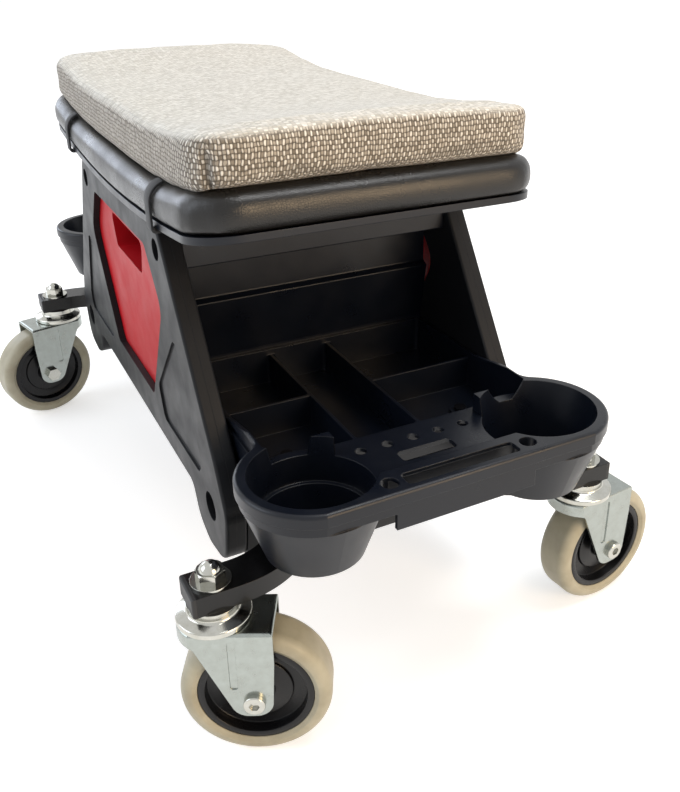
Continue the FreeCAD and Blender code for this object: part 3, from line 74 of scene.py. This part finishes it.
# Sizes of the wheel hubs, half widths measured from the wheel's middle plane
HUB_BORE, HUB_BOSS, HUB_STEP = 6.25 * MM, 12 * MM, 24 * MM
HUB_RIM_INSIDE, HUB_RADIUS = 33.5 * MM, 38.5 * MM
HUB_BOSS_HALF, HUB_STEP_HALF, HUB_WEB_HALF, HUB_HALF = 17.2 * MM, 7.5 * MM, 5 * MM, 13 * MM
HUB_ROUND = 0.9 * MM
HUB_SMOOTH_ANGLE = math.radians(35)
HUB_FACETS = 72

# Sizes of the surface patterns
RUB_SPOT = 60 * MM
GLOSS_SPOT = 25 * MM
SPARK_DEPTH = 0.05 * MM
PANEL_SPARK, PANEL_EDGE = 0.8 * MM, 0.7 * MM
TRAY_SPARK, TRAY_EDGE = 0.9 * MM, 0.9 * MM
HUB_SPARK, HUB_EDGE = 1.2 * MM, 0.8 * MM
PLUG_SPARK, PLUG_EDGE = 0.8 * MM, 0.5 * MM
RED_SPARK, RED_EDGE = 0.8 * MM, 0.6 * MM
PEEL_SPOT, PEEL_DEPTH, PAINT_EDGE = 2.2 * MM, 0.08 * MM, 0.9 * MM
ZINC_MOTTLE, ZINC_SPOT, ZINC_DEPTH = 7 * MM, 0.9 * MM, 0.03 * MM
FORK_EDGE, NUT_EDGE = 0.6 * MM, 0.4 * MM
DUST_SPOT, TREAD_SPOT, TREAD_DEPTH, TREAD_EDGE = 18 * MM, 1.2 * MM, 0.06 * MM, 0.8 * MM
PEBBLE, WRINKLE, LEATHER_DEPTH, SKIN_SPOT = 1.8 * MM, 4 * MM, 0.10 * MM, 30 * MM
WARP_PITCH, WEFT_PITCH = 2.0 * MM, 3.1 * MM
WEAVE_DRIFT, FIBRE, YARN_SPOT, WEAVE_DEPTH = 7 * MM, 0.5 * MM, 9 * MM, 0.7 * MM
HEM_WIDTH, HEM_LINE = 2.6 * MM, 0.8 * MM
ELASTIC_RIB, ELASTIC_DEPTH = 1.2 * MM, 0.15 * MM
OXIDE_SPOT, OXIDE_DEPTH, OXIDE_EDGE = 1.0 * MM, 0.03 * MM, 0.3 * MM

# Camera of the photograph, with its frame taken as 680 by 792; its place is given from the seat's middle
CAMERA_FROM_SEAT = Vector((0.71329, -0.26120, 0.49349))
CAMERA_TURN = (65.099, -0.209, 61.360)
IMAGE_WIDTH, IMAGE_HEIGHT = 680, 792
FOCAL_PIXELS = 869.0
CENTRE_X, CENTRE_Y = 387.7, 351.6
SENSOR = 36.0

# Studio
FLOOR_SIZE = 60.0
LAMP_AIM = (0.0, 0.0, 0.22)
COOL_PLACE, COOL_SIZE, COOL_POWER = (-0.5, -2.2, 1.3), 1.6, 22
WARM_PLACE, WARM_SIZE, WARM_POWER = (2.1, 0.8, 0.8), 1.0, 26
TOP_PLACE, TOP_SIZE, TOP_POWER = (0.5, 0.6, 2.3), 0.8, 20
RIM_PLACE, RIM_SIZE, RIM_POWER = (-2.2, -0.8, 0.8), 0.9, 9
WORLD_LIGHT = 0.62
FLOOR_GLOW = 0.50


def linear(hex_colour):
    """An sRGB hex colour as linear red, green, blue and alpha."""
    channels = [int(hex_colour[index:index + 2], 16) / 255 for index in (1, 3, 5)]
    curve = [c / 12.92 if c <= 0.04045 else ((c + 0.055) / 1.055) ** 2.4 for c in channels]
    return (*curve, 1.0)


def add_node(tree, kind, settings=None, **sockets):
    """Add a shader node, set its properties, and fill or link its input sockets by name or number."""
    node = tree.nodes.new(kind)
    for name, value in (settings or {}).items():
        setattr(node, name, value)
    for name, value in sockets.items():
        key = int(name[1:]) if name[0] == "n" and name[1:].isdigit() else name.replace("_", " ")
        socket = node.inputs[key]
        if isinstance(value, bpy.types.NodeSocket):
            tree.links.new(value, socket)
        else:
            socket.default_value = value
    return node


def new_material(name, colour, roughness, metallic=0.0, coat=0.0, sheen=0.0, specular=0.5):
    """A material with its shader's constants set; returns it with its node tree and shader."""
    material = bpy.data.materials.new(name)
    material.use_nodes = True
    tree = material.node_tree
    shader = next(node for node in tree.nodes if node.type == "BSDF_PRINCIPLED")
    shader.inputs["Base Color"].default_value = linear(colour)
    shader.inputs["Roughness"].default_value = roughness
    shader.inputs["Metallic"].default_value = metallic
    shader.inputs["Coat Weight"].default_value = coat
    shader.inputs["Sheen Weight"].default_value = sheen
    shader.inputs["Specular IOR Level"].default_value = specular
    return material, tree, shader


def object_place(tree):
    """The place on the piece, in metres."""
    return add_node(tree, "ShaderNodeTexCoord").outputs["Object"]


def noise(tree, place, size, detail=2.0, rough=0.5):
    """Noise whose largest spots are about the given size across."""
    return add_node(
        tree, "ShaderNodeTexNoise", Vector=place, Scale=1 / size, Detail=detail, Roughness=rough,
    ).outputs["Fac"]


def spread(tree, value, low, high, to_low, to_high):
    """Map a value from one range to another, clamped."""
    return add_node(
        tree, "ShaderNodeMapRange", Value=value,
        From_Min=low, From_Max=high, To_Min=to_low, To_Max=to_high,
    ).outputs["Result"]


def mixed(tree, share, first, second):
    """Blend two colours."""
    node = add_node(tree, "ShaderNodeMix", {"data_type": "RGBA"}, n0=share)
    for index, value in ((6, first), (7, second)):
        if isinstance(value, bpy.types.NodeSocket):
            tree.links.new(value, node.inputs[index])
        else:
            node.inputs[index].default_value = linear(value)
    return node.outputs[2]


def maths(tree, operation, first, second=0.0):
    return add_node(tree, "ShaderNodeMath", {"operation": operation}, n0=first, n1=second).outputs[0]


def bump(tree, height, distance, strength, edge=0.0):
    """A bump from a height; an edge radius also softens the sharp edges of a hard piece."""
    node = add_node(tree, "ShaderNodeBump", Height=height, Distance=distance, Strength=strength)
    if edge:
        rounding = add_node(tree, "ShaderNodeBevel", {"samples": 4}, Radius=edge)
        tree.links.new(rounding.outputs["Normal"], node.inputs["Normal"])
    return node.outputs["Normal"]


def moulded(name, colour, worn, roughness, grain, edge, specular=0.4):
    """Injection-moulded polypropylene: a fine spark texture, and paler where hands and tools rub it."""
    material, tree, shader = new_material(name, colour, roughness, specular=specular)
    place = object_place(tree)
    cloud = noise(tree, place, RUB_SPOT, 3.0)
    tint = mixed(tree, spread(tree, cloud, 0.35, 0.75, 0.0, 1.0), colour, worn)
    tree.links.new(tint, shader.inputs["Base Color"])
    gloss_spots = noise(tree, place, GLOSS_SPOT, 4.0)
    gloss = spread(tree, gloss_spots, 0.3, 0.7, roughness - 0.06, roughness + 0.08)
    tree.links.new(gloss, shader.inputs["Roughness"])
    texture = noise(tree, place, grain, 2.0)
    tree.links.new(bump(tree, texture, SPARK_DEPTH, 0.35, edge), shader.inputs["Normal"])
    return material


def gloss_paint():
    """Black powder coat on steel tube: smooth and glossy with a faint orange peel."""
    material, tree, shader = new_material(
        "powder_coat_gloss_black", "#0A0A0B", 0.26, coat=0.15, specular=0.25,
    )
    shader.inputs["Coat Roughness"].default_value = 0.12
    peel = noise(tree, object_place(tree), PEEL_SPOT, 1.0)
    tree.links.new(bump(tree, peel, PEEL_DEPTH, 0.25, PAINT_EDGE), shader.inputs["Normal"])
    return material


def zinc(name, colour, dull, roughness, edge):
    """Zinc plate on pressed steel: pale metal, softly mottled by the plating."""
    material, tree, shader = new_material(name, colour, roughness, metallic=1.0)
    place = object_place(tree)
    mottle = noise(tree, place, ZINC_MOTTLE, 4.0, 0.6)
    tint = mixed(tree, spread(tree, mottle, 0.3, 0.7, 0.0, 1.0), colour, dull)
    tree.links.new(tint, shader.inputs["Base Color"])
    gloss = spread(tree, mottle, 0.3, 0.7, roughness - 0.04, roughness + 0.05)
    tree.links.new(gloss, shader.inputs["Roughness"])
    tree.links.new(bump(tree, noise(tree, place, ZINC_SPOT), ZINC_DEPTH, 0.07, edge), shader.inputs["Normal"])
    return material


def tread_rubber():
    """Grey-beige thermoplastic rubber: matte, and dusty on the tread."""
    material, tree, shader = new_material("thermoplastic_rubber_grey", "#A8A28E", 0.45)
    place = object_place(tree)
    dust = noise(tree, place, DUST_SPOT, 4.0)
    tint = mixed(tree, spread(tree, dust, 0.35, 0.7, 0.0, 1.0), "#AFA993", "#9C957F")
    tree.links.new(tint, shader.inputs["Base Color"])
    grain = noise(tree, place, TREAD_SPOT)
    tree.links.new(bump(tree, grain, TREAD_DEPTH, 0.3, TREAD_EDGE), shader.inputs["Normal"])
    return material


def pad_skin():
    """Integral-skin polyurethane foam: black, glossy, with a leather grain of fine pebbles."""
    material, tree, shader = new_material("polyurethane_skin_grained", "#100F0E", 0.32, specular=0.42)
    place = object_place(tree)
    pebbles = add_node(
        tree, "ShaderNodeTexVoronoi", {"feature": "DISTANCE_TO_EDGE"}, Vector=place, Scale=1 / PEBBLE,
    ).outputs["Distance"]
    painted_crease_shade = spread(tree, pebbles, 0.0, 0.16, 0.0, 1.0)
    wrinkle = noise(tree, place, WRINKLE, 3.0)
    height = maths(tree, "ADD", painted_crease_shade, maths(tree, "MULTIPLY", wrinkle, 0.6))
    tree.links.new(bump(tree, height, LEATHER_DEPTH, 0.5), shader.inputs["Normal"])
    gloss = spread(tree, noise(tree, place, SKIN_SPOT, 3.0), 0.35, 0.65, 0.26, 0.38)
    tree.links.new(gloss, shader.inputs["Roughness"])
    return material


def wrapped_place(tree):
    """The place on the piece, and its two distances along whichever box side the surface looks to."""
    source = add_node(tree, "ShaderNodeTexCoord")
    place = add_node(tree, "ShaderNodeSeparateXYZ", Vector=source.outputs["Object"])
    facing = add_node(tree, "ShaderNodeSeparateXYZ", Vector=source.outputs["Normal"])
    x_share, y_share, z_share = [maths(tree, "ABSOLUTE", facing.outputs[axis]) for axis in "XYZ"]
    endways = maths(tree, "GREATER_THAN", x_share, maths(tree, "MAXIMUM", y_share, z_share))
    upward = maths(tree, "GREATER_THAN", z_share, maths(tree, "MAXIMUM", x_share, y_share))

    def either(share, first, second):
        node = add_node(tree, "ShaderNodeMix", {"data_type": "FLOAT"}, n0=share, n2=first, n3=second)
        return node.outputs[0]

    across = either(endways, place.outputs["X"], place.outputs["Y"])
    along = either(upward, place.outputs["Z"], place.outputs["Y"])
    return source.outputs["Object"], across, along


def woven_cover():
    """Coarse slubby weave: pale upright floats in staggered rows over darker yarn, with dark gaps."""
    material, tree, shader = new_material("slub_weave_linen", "#B9B2A4", 0.85, sheen=0.2)
    shader.inputs["Sheen Roughness"].default_value = 0.5
    chart, across, along = wrapped_place(tree)
    drift = maths(tree, "MULTIPLY", noise(tree, chart, WEAVE_DRIFT, 3.0), 1.1)
    across = maths(tree, "ADD", maths(tree, "DIVIDE", across, WARP_PITCH), drift)
    along = maths(tree, "ADD", maths(tree, "DIVIDE", along, WEFT_PITCH), drift)
    column, row = maths(tree, "FLOOR", across), maths(tree, "FLOOR", along)
    parity = maths(tree, "MODULO", maths(tree, "ABSOLUTE", maths(tree, "ADD", column, row)), 2.0)
    cell = add_node(tree, "ShaderNodeCombineXYZ", X=column, Y=row).outputs[0]
    lot = add_node(tree, "ShaderNodeTexWhiteNoise", {"noise_dimensions": "2D"}, Vector=cell).outputs["Value"]

    def hump(value, flat):
        """Round profile across one yarn, from 0 at its edges to 1 on top."""
        wave = maths(tree, "SINE", maths(tree, "MULTIPLY", maths(tree, "FRACT", value), math.pi))
        return maths(tree, "POWER", wave, flat)

    warp = maths(tree, "MULTIPLY", hump(across, 0.9), hump(along, 0.3))
    weft = maths(tree, "MULTIPLY", maths(tree, "MULTIPLY", hump(along, 0.6), hump(across, 0.3)), 0.7)
    height = add_node(tree, "ShaderNodeMix", {"data_type": "FLOAT"}, n0=parity, n2=warp, n3=weft).outputs[0]
    fibre = noise(tree, chart, FIBRE, 2.0)
    lint = maths(tree, "ADD", height, maths(tree, "MULTIPLY", fibre, 0.3))
    cloud = noise(tree, chart, YARN_SPOT, 2.0)
    uneven = maths(tree, "ADD", maths(tree, "MULTIPLY", lot, 0.8), maths(tree, "MULTIPLY", cloud, 0.4))
    pale = mixed(tree, uneven, "#F2EEE6", "#C9C2B6")
    ground = mixed(tree, uneven, "#B7AEA0", "#756B5D")
    float_share = maths(tree, "SUBTRACT", 1.0, parity)
    float_top = maths(tree, "MULTIPLY", spread(tree, height, 0.45, 0.85, 0.0, 1.0), float_share)
    yarns = mixed(tree, float_top, ground, pale)
    gap = spread(tree, height, 0.12, 0.58, 0.0, 1.0)
    side_colour = mixed(tree, gap, "#4C443A", yarns)
    # Painted top light: faces that look upwards are blended towards a paler colour with fainter gaps, as if
    # lit from above
    looks = add_node(tree, "ShaderNodeNewGeometry").outputs["Normal"]
    upward = add_node(tree, "ShaderNodeSeparateXYZ", Vector=looks)
    painted_top_light = spread(tree, upward.outputs["Z"], 0.45, 0.9, 0.0, 0.72)
    top_lit_colour = mixed(tree, uneven, "#FBFAF4", "#CFCCC2")
    surface = mixed(tree, painted_top_light, side_colour, top_lit_colour)
    # The turned hem above the lower edge, with a row of stitches over it, and painted shade darkening the
    # creased corners
    rise = add_node(tree, "ShaderNodeAttribute", {"attribute_name": "rise"}).outputs["Fac"]
    from_line = maths(tree, "ABSOLUTE", maths(tree, "SUBTRACT", rise, HEM_WIDTH))
    hem = spread(tree, from_line, 0.0, HEM_LINE, 0.35, 0.0)
    surface = mixed(tree, hem, surface, "#4A443C")
    # Painted shade: the corner creases are darkened towards a deep brown
    crease_dent_and_shade = add_node(tree, "ShaderNodeAttribute", {"attribute_name": "crease_dent_and_shade"}).outputs["Fac"]
    surface = mixed(tree, spread(tree, crease_dent_and_shade, 0.0, 1.0, 0.0, 0.6), surface, "#3F3932")
    tree.links.new(surface, shader.inputs["Base Color"])
    tree.links.new(bump(tree, lint, WEAVE_DEPTH, 0.7), shader.inputs["Normal"])
    return material


def elastic_webbing():
    """Black woven elastic: fine ribs along its length, matte."""
    material, tree, shader = new_material("elastic_webbing_black", "#1C1D20", 0.75, sheen=0.15)
    place = object_place(tree)
    ribs = add_node(
        tree, "ShaderNodeTexWave", {"wave_type": "BANDS", "bands_direction": "X"},
        Vector=place, Scale=1 / ELASTIC_RIB / (2 * math.pi), Distortion=0.3,
    ).outputs["Fac"]
    tree.links.new(bump(tree, ribs, ELASTIC_DEPTH, 0.6), shader.inputs["Normal"])
    return material


def dark_oxide():
    """Black-oxide screws: dark metal with a dull oily shine."""
    material, tree, shader = new_material("black_oxide_steel", "#26262A", 0.42, metallic=1.0)
    grain = noise(tree, object_place(tree), OXIDE_SPOT)
    tree.links.new(bump(tree, grain, OXIDE_DEPTH, 0.2, OXIDE_EDGE), shader.inputs["Normal"])
    return material


PANEL = moulded("polypropylene_textured_black", "#141518", "#191A1D", 0.42, PANEL_SPARK, PANEL_EDGE, 0.18)
TRAY = moulded("polypropylene_satin_black", "#080C15", "#0D121C", 0.32, TRAY_SPARK, TRAY_EDGE, 0.34)
HUB = moulded("nylon_black", "#09090B", "#0F0F11", 0.28, HUB_SPARK, HUB_EDGE, 0.3)
PLUG = moulded("polyethylene_plug_black", "#1B1B1C", "#232324", 0.5, PLUG_SPARK, PLUG_EDGE)
RED = moulded("polypropylene_red", "#AC121B", "#B71A23", 0.44, RED_SPARK, RED_EDGE, 0.12)
PAINT = gloss_paint()
FORK_ZINC = zinc("zinc_plate_pressed", "#A3A9A5", "#9A9F9A", 0.24, FORK_EDGE)
BRIGHT_ZINC = zinc("zinc_plate_bright", "#BFBFB9", "#B2B1A8", 0.16, NUT_EDGE)
TREAD = tread_rubber()
SKIN = pad_skin()
WEAVE = woven_cover()
ELASTIC = elastic_webbing()
OXIDE = dark_oxide()

FINISHES = (
    ("side_panel", PANEL), ("bulkhead", TRAY), ("tray_screws", OXIDE), ("tray", TRAY),
    ("grip_insert", RED), ("arm_plugs", PLUG), ("arm_", PAINT), ("cross_tube", PAINT),
    ("tie_plate", PAINT), ("seat_board", TRAY), ("seat_screws", OXIDE), ("panel_bolts", OXIDE),
    ("cap_nuts", BRIGHT_ZINC), ("stem_washers", BRIGHT_ZINC), ("caster_stem", BRIGHT_ZINC),
    ("caster_race", BRIGHT_ZINC), ("caster_fork", FORK_ZINC), ("wheel_axle", BRIGHT_ZINC),
    ("wheel_bush", BRIGHT_ZINC), ("wheel_hub", HUB), ("wheel_tyre", TREAD),
)


def paint(piece, material):
    piece.data.materials.clear()
    piece.data.materials.append(material)


for node_name, node in frame["nodes"].items():
    for start, material in FINISHES:
        if node_name.startswith(start):
            paint(node, material)
            break


def pick(*pieces):
    """Select these pieces only; the last one is active."""
    bpy.ops.object.select_all(action="DESELECT")
    for piece in pieces:
        piece.select_set(True)
        bpy.context.view_layer.objects.active = piece


def clean_mesh(piece):
    """Merge points that lie together, and turn all faces outwards."""
    pick(piece)
    bpy.ops.object.mode_set(mode="EDIT")
    bpy.ops.mesh.select_all(action="SELECT")
    bpy.ops.mesh.remove_doubles(threshold=MERGE_REACH)
    bpy.ops.mesh.normals_make_consistent(inside=False)
    bpy.ops.object.mode_set(mode="OBJECT")


def copy_of(node_name, name):
    """A copy of a CAD node as one merged mesh of its own."""
    piece = frame["nodes"][node_name].copy()
    piece.data = piece.data.copy()
    piece.name = name
    piece.parent = None
    bpy.context.collection.objects.link(piece)
    clean_mesh(piece)
    return piece


def apply_modifier(piece, kind, name, **settings):
    modifier = piece.modifiers.new(name, kind)
    for key, value in settings.items():
        setattr(modifier, key, value)
    pick(piece)
    bpy.ops.object.modifier_apply(modifier=modifier.name)


def round_edges(piece, width, smooth_angle):
    """Round the sharp edges of a piece and shade its faces smooth."""
    apply_modifier(
        piece, "BEVEL", "Edges",
        width=width, segments=2, limit_method="ANGLE", angle_limit=ROUNDED_EDGE_ANGLE,
    )
    pick(piece)
    bpy.ops.object.shade_smooth_by_angle(angle=smooth_angle)


def swell(piece, limit):
    """Blow the cover up with cloth under pressure, then hold each point to a limit from where it was."""
    before = [vertex.co.copy() for vertex in piece.data.vertices]
    cloth = piece.modifiers.new("Stuffing", "CLOTH")
    cloth.settings.use_pressure = True
    cloth.settings.uniform_pressure_force = CUSHION_PRESSURE
    cloth.settings.effector_weights.gravity = 0
    cloth.point_cache.frame_start = 1
    cloth.point_cache.frame_end = CUSHION_FRAMES
    scene = bpy.context.scene
    for step in range(1, CUSHION_FRAMES + 1):
        scene.frame_set(step)
    pick(piece)
    bpy.ops.object.modifier_apply(modifier=cloth.name)
    scene.frame_set(1)
    for vertex, old in zip(piece.data.vertices, before):
        moved = vertex.co - old
        if moved.length > limit:
            vertex.co = old + moved.normalized() * limit


def fit_box(piece, node_name):
    """Scale a swollen piece back to the box of its CAD node, about that box's middle."""
    low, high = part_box(node_name)
    points = [vertex.co for vertex in piece.data.vertices]
    now_low = Vector([min(p[axis] for p in points) for axis in range(3)])
    now_high = Vector([max(p[axis] for p in points) for axis in range(3)])
    middle, now_middle = (low + high) / 2, (now_low + now_high) / 2
    for vertex in piece.data.vertices:
        for axis in range(3):
            share = (high[axis] - low[axis]) / (now_high[axis] - now_low[axis])
            vertex.co[axis] = middle[axis] + (vertex.co[axis] - now_middle[axis]) * share


def edge_heights(piece, pick_height):
    """Height of the cushion's lowest or highest points along the seat, as a function of X."""
    columns = {}
    for vertex in piece.data.vertices:
        column = round(vertex.co.x / EDGE_COLUMN)
        columns[column] = pick_height(columns.get(column, vertex.co.z), vertex.co.z)
    first, last = min(columns), max(columns)

    def height(x):
        place = min(max(x / EDGE_COLUMN, first), last)
        column = min(math.floor(place), last - 1)
        share = place - column
        return columns[column] * (1 - share) + columns[column + 1] * share

    return height


def shape_cover(piece):
    """Let the rim sink onto the pad's round, pull in a crease down each corner, and keep each crease's share
    as the mask of the painted shade there.
    """
    low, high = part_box("cushion")
    middle = (low + high) / 2
    base, top = edge_heights(piece, min), edge_heights(piece, max)
    rises, painted_crease_shade = [], []
    for vertex in piece.data.vertices:
        point = vertex.co
        rise = max(point.z - base(point.x), 0.0)
        fall = top(point.x) - point.z
        from_side = (high.y - middle.y) - abs(point.y - middle.y)
        from_end = (high.x - middle.x) - abs(point.x - middle.x)
        near_side = max(1 - from_side / DROOP_REACH, 0.0)
        sunk = CUSHION_DROOP * min(near_side * 2, 1.0) * max(1 - rise / (DROOP_REACH * 2), 0.0)
        away = (from_side - from_end) / CREASE_WIDTH
        near_corner = from_side < CREASE_WIDTH * 3 and from_end < CREASE_WIDTH * 3
        depth = min(max((fall - CREASE_BELOW_TOP) / CREASE_FADE, 0.0), 1.0)
        crease_dent_and_shade = math.exp(-away * away) * depth if near_corner else 0.0
        inward = Vector((middle.x - point.x, middle.y - point.y, 0))
        inward = Vector((math.copysign(1, inward.x), math.copysign(1, inward.y), 0)).normalized()
        vertex.co = point + inward * CREASE_DEPTH * crease_dent_and_shade - Vector((0, 0, sunk))
        rises.append(rise)
        painted_crease_shade.append(crease_dent_and_shade)
    # The crease share is stored as the mask of the painted shade in the corners; the rise places the hem
    for name, values in (("rise", rises), ("crease_dent_and_shade", painted_crease_shade)):
        piece.data.attributes.new(name, "FLOAT", "POINT").data.foreach_set("value", values)


def make_cushion():
    """Fabric cushion over the pad: foam slab in a woven cover, swollen a little."""
    piece = copy_of("cushion", "cushion_cover")
    apply_modifier(piece, "REMESH", "Even", mode="VOXEL", voxel_size=CUSHION_VOXEL)
    swell(piece, CUSHION_SWELL)
    fit_box(piece, "cushion")
    apply_modifier(piece, "SMOOTH", "Soften", factor=0.5, iterations=2)
    apply_modifier(piece, "SUBSURF", "Fine", levels=1, render_levels=1)
    shape_cover(piece)
    pick(piece)
    bpy.ops.object.shade_smooth()
    paint(piece, WEAVE)
    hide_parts("cushion")
    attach(piece, "frame")
    return piece


def make_pad():
    """Integral-skin pad: the moulded saddle with a soft dent pressed into each corner."""
    piece = copy_of("seat_pad", "seat_pad_skin")
    apply_modifier(piece, "REMESH", "Even", mode="VOXEL", voxel_size=PAD_VOXEL)
    apply_modifier(piece, "SMOOTH", "Soften", factor=0.5, iterations=3)
    low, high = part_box("seat_pad")
    for vertex in piece.data.vertices:
        for end_x, inward_x in ((low.x, 1), (high.x, -1)):
            for side_y, inward_y in ((low.y, 1), (high.y, -1)):
                corner_x, corner_y = end_x + inward_x * DENT_BACK, side_y + inward_y * DENT_BACK
                away = math.hypot(vertex.co.x - corner_x, vertex.co.y - corner_y) / DENT_WIDTH
                inward = Vector((inward_x, inward_y, 0)).normalized()
                vertex.co += inward * DENT_DEPTH * math.exp(-away * away)
    apply_modifier(piece, "SUBSURF", "Fine", levels=1, render_levels=1)
    pick(piece)
    bpy.ops.object.shade_smooth()
    paint(piece, SKIN)
    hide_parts("seat_pad")
    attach(piece, "frame")
    return piece


def make_strap(end):
    """Elastic strap: a rounded, slightly stretched band copied from the CAD band's path."""
    name = f"cushion_strap_{end}"
    piece = copy_of(name, f"elastic_{end}")
    round_edges(piece, STRAP_ROUND, STRAP_SMOOTH_ANGLE)
    paint(piece, ELASTIC)
    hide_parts(name)
    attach(piece, "frame")
    return piece


def make_hub(caster):
    """Plain stepped wheel hub, turned about its own axle, as the photograph shows it without ribs."""
    joint = next(item for item in frame["record"]["behaviour"]["joints"] if item["name"] == f"roll_{caster}")
    axle = Vector(joint["axis"]).normalized()
    low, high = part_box(f"wheel_hub_{caster}")
    middle = (low + high) / 2
    upward = Vector((0, 0, 1))
    sideways = axle.cross(upward)
    half = [
        (HUB_BORE, HUB_BOSS_HALF), (HUB_BOSS, HUB_BOSS_HALF), (HUB_BOSS, HUB_STEP_HALF),
        (HUB_STEP, HUB_STEP_HALF), (HUB_STEP, HUB_WEB_HALF), (HUB_RIM_INSIDE, HUB_WEB_HALF),
        (HUB_RIM_INSIDE, HUB_HALF), (HUB_RADIUS, HUB_HALF),
    ]
    profile = half + [(radius, -width) for radius, width in reversed(half)]
    points, faces = [], []
    for facet in range(HUB_FACETS):
        angle = 2 * math.pi * facet / HUB_FACETS
        out = upward * math.cos(angle) + sideways * math.sin(angle)
        points += [middle + out * radius + axle * width for radius, width in profile]
    count = len(profile)
    for facet in range(HUB_FACETS):
        here, there = facet * count, (facet + 1) % HUB_FACETS * count
        for index in range(count):
            after = (index + 1) % count
            faces.append((here + index, here + after, there + after, there + index))
    mesh = bpy.data.meshes.new(f"hub_{caster}")
    mesh.from_pydata(points, [], faces)
    piece = bpy.data.objects.new(f"hub_{caster}", mesh)
    bpy.context.collection.objects.link(piece)
    clean_mesh(piece)
    round_edges(piece, HUB_ROUND, HUB_SMOOTH_ANGLE)
    paint(piece, HUB)
    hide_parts(f"wheel_hub_{caster}")
    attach(piece, f"wheel_{caster}")
    return piece


make_cushion()
make_pad()
for end_name in ("front", "rear"):
    make_strap(end_name)
    for side_name in ("left", "right"):
        make_hub(f"{end_name}_{side_name}")


def make_floor():
    """Plain pale floor, large enough to fill the picture; the camera and reflections see it as white."""
    bpy.ops.object.select_all(action="DESELECT")
    bpy.ops.mesh.primitive_plane_add(size=FLOOR_SIZE, location=(0, 0, 0))
    floor = bpy.context.active_object
    floor.name = "studio_floor"
    material, tree, shader = new_material("studio_floor_white", "#F0F0EF", 0.9, specular=0.1)
    path = add_node(tree, "ShaderNodeLightPath")
    seen = maths(tree, "MAXIMUM", path.outputs["Is Camera Ray"], path.outputs["Is Glossy Ray"])
    shader.inputs["Emission Color"].default_value = (1, 1, 1, 1)
    tree.links.new(maths(tree, "MULTIPLY", seen, FLOOR_GLOW), shader.inputs["Emission Strength"])
    paint(floor, material)
    return floor


def make_lamp(name, place, size, power, colour):
    """A soft square lamp aimed at the seat."""
    bpy.ops.object.light_add(type="AREA", location=place)
    lamp = bpy.context.active_object
    lamp.name = name
    lamp.data.shape = "SQUARE"
    lamp.data.size = size
    lamp.data.energy = power
    lamp.data.color = linear(colour)[:3]
    lamp.rotation_euler = (Vector(LAMP_AIM) - Vector(place)).to_track_quat("-Z", "Y").to_euler()
    return lamp


def make_world():
    """Pale surroundings: white where the camera and reflections look, softer as a light."""
    world = bpy.data.worlds.new("studio")
    bpy.context.scene.world = world
    world.use_nodes = True
    tree = world.node_tree
    back = next(node for node in tree.nodes if node.type == "BACKGROUND")
    path = add_node(tree, "ShaderNodeLightPath")
    seen = maths(tree, "MAXIMUM", path.outputs["Is Camera Ray"], path.outputs["Is Glossy Ray"])
    seen = maths(tree, "MAXIMUM", seen, path.outputs["Is Transmission Ray"])
    back.inputs["Color"].default_value = (1, 1, 1, 1)
    tree.links.new(spread(tree, seen, 0.0, 1.0, WORLD_LIGHT, 1.0), back.inputs["Strength"])


def make_camera():
    """Camera of the photograph, solved from the object's own edges and wheels."""
    low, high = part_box("seat_pad")
    place = CAMERA_FROM_SEAT + Vector((0, (low.y + high.y) / 2, 0))
    bpy.ops.object.camera_add(location=place, rotation=[math.radians(a) for a in CAMERA_TURN])
    camera = bpy.context.active_object
    camera.data.sensor_width = SENSOR
    camera.data.lens = FOCAL_PIXELS * SENSOR / IMAGE_HEIGHT
    camera.data.shift_x = (IMAGE_WIDTH / 2 - CENTRE_X) / IMAGE_HEIGHT
    camera.data.shift_y = (CENTRE_Y - IMAGE_HEIGHT / 2) / IMAGE_HEIGHT
    bpy.context.scene.camera = camera


make_floor()
make_world()
make_lamp("cool_side", COOL_PLACE, COOL_SIZE, COOL_POWER, "#EAF2FF")
make_lamp("warm_front", WARM_PLACE, WARM_SIZE, WARM_POWER, "#FFDDB0")
make_lamp("top", TOP_PLACE, TOP_SIZE, TOP_POWER, "#FFFFFF")
make_lamp("far_rim", RIM_PLACE, RIM_SIZE, RIM_POWER, "#E4EEFF")
make_camera()
bpy.context.scene.view_settings.view_transform = "Standard"
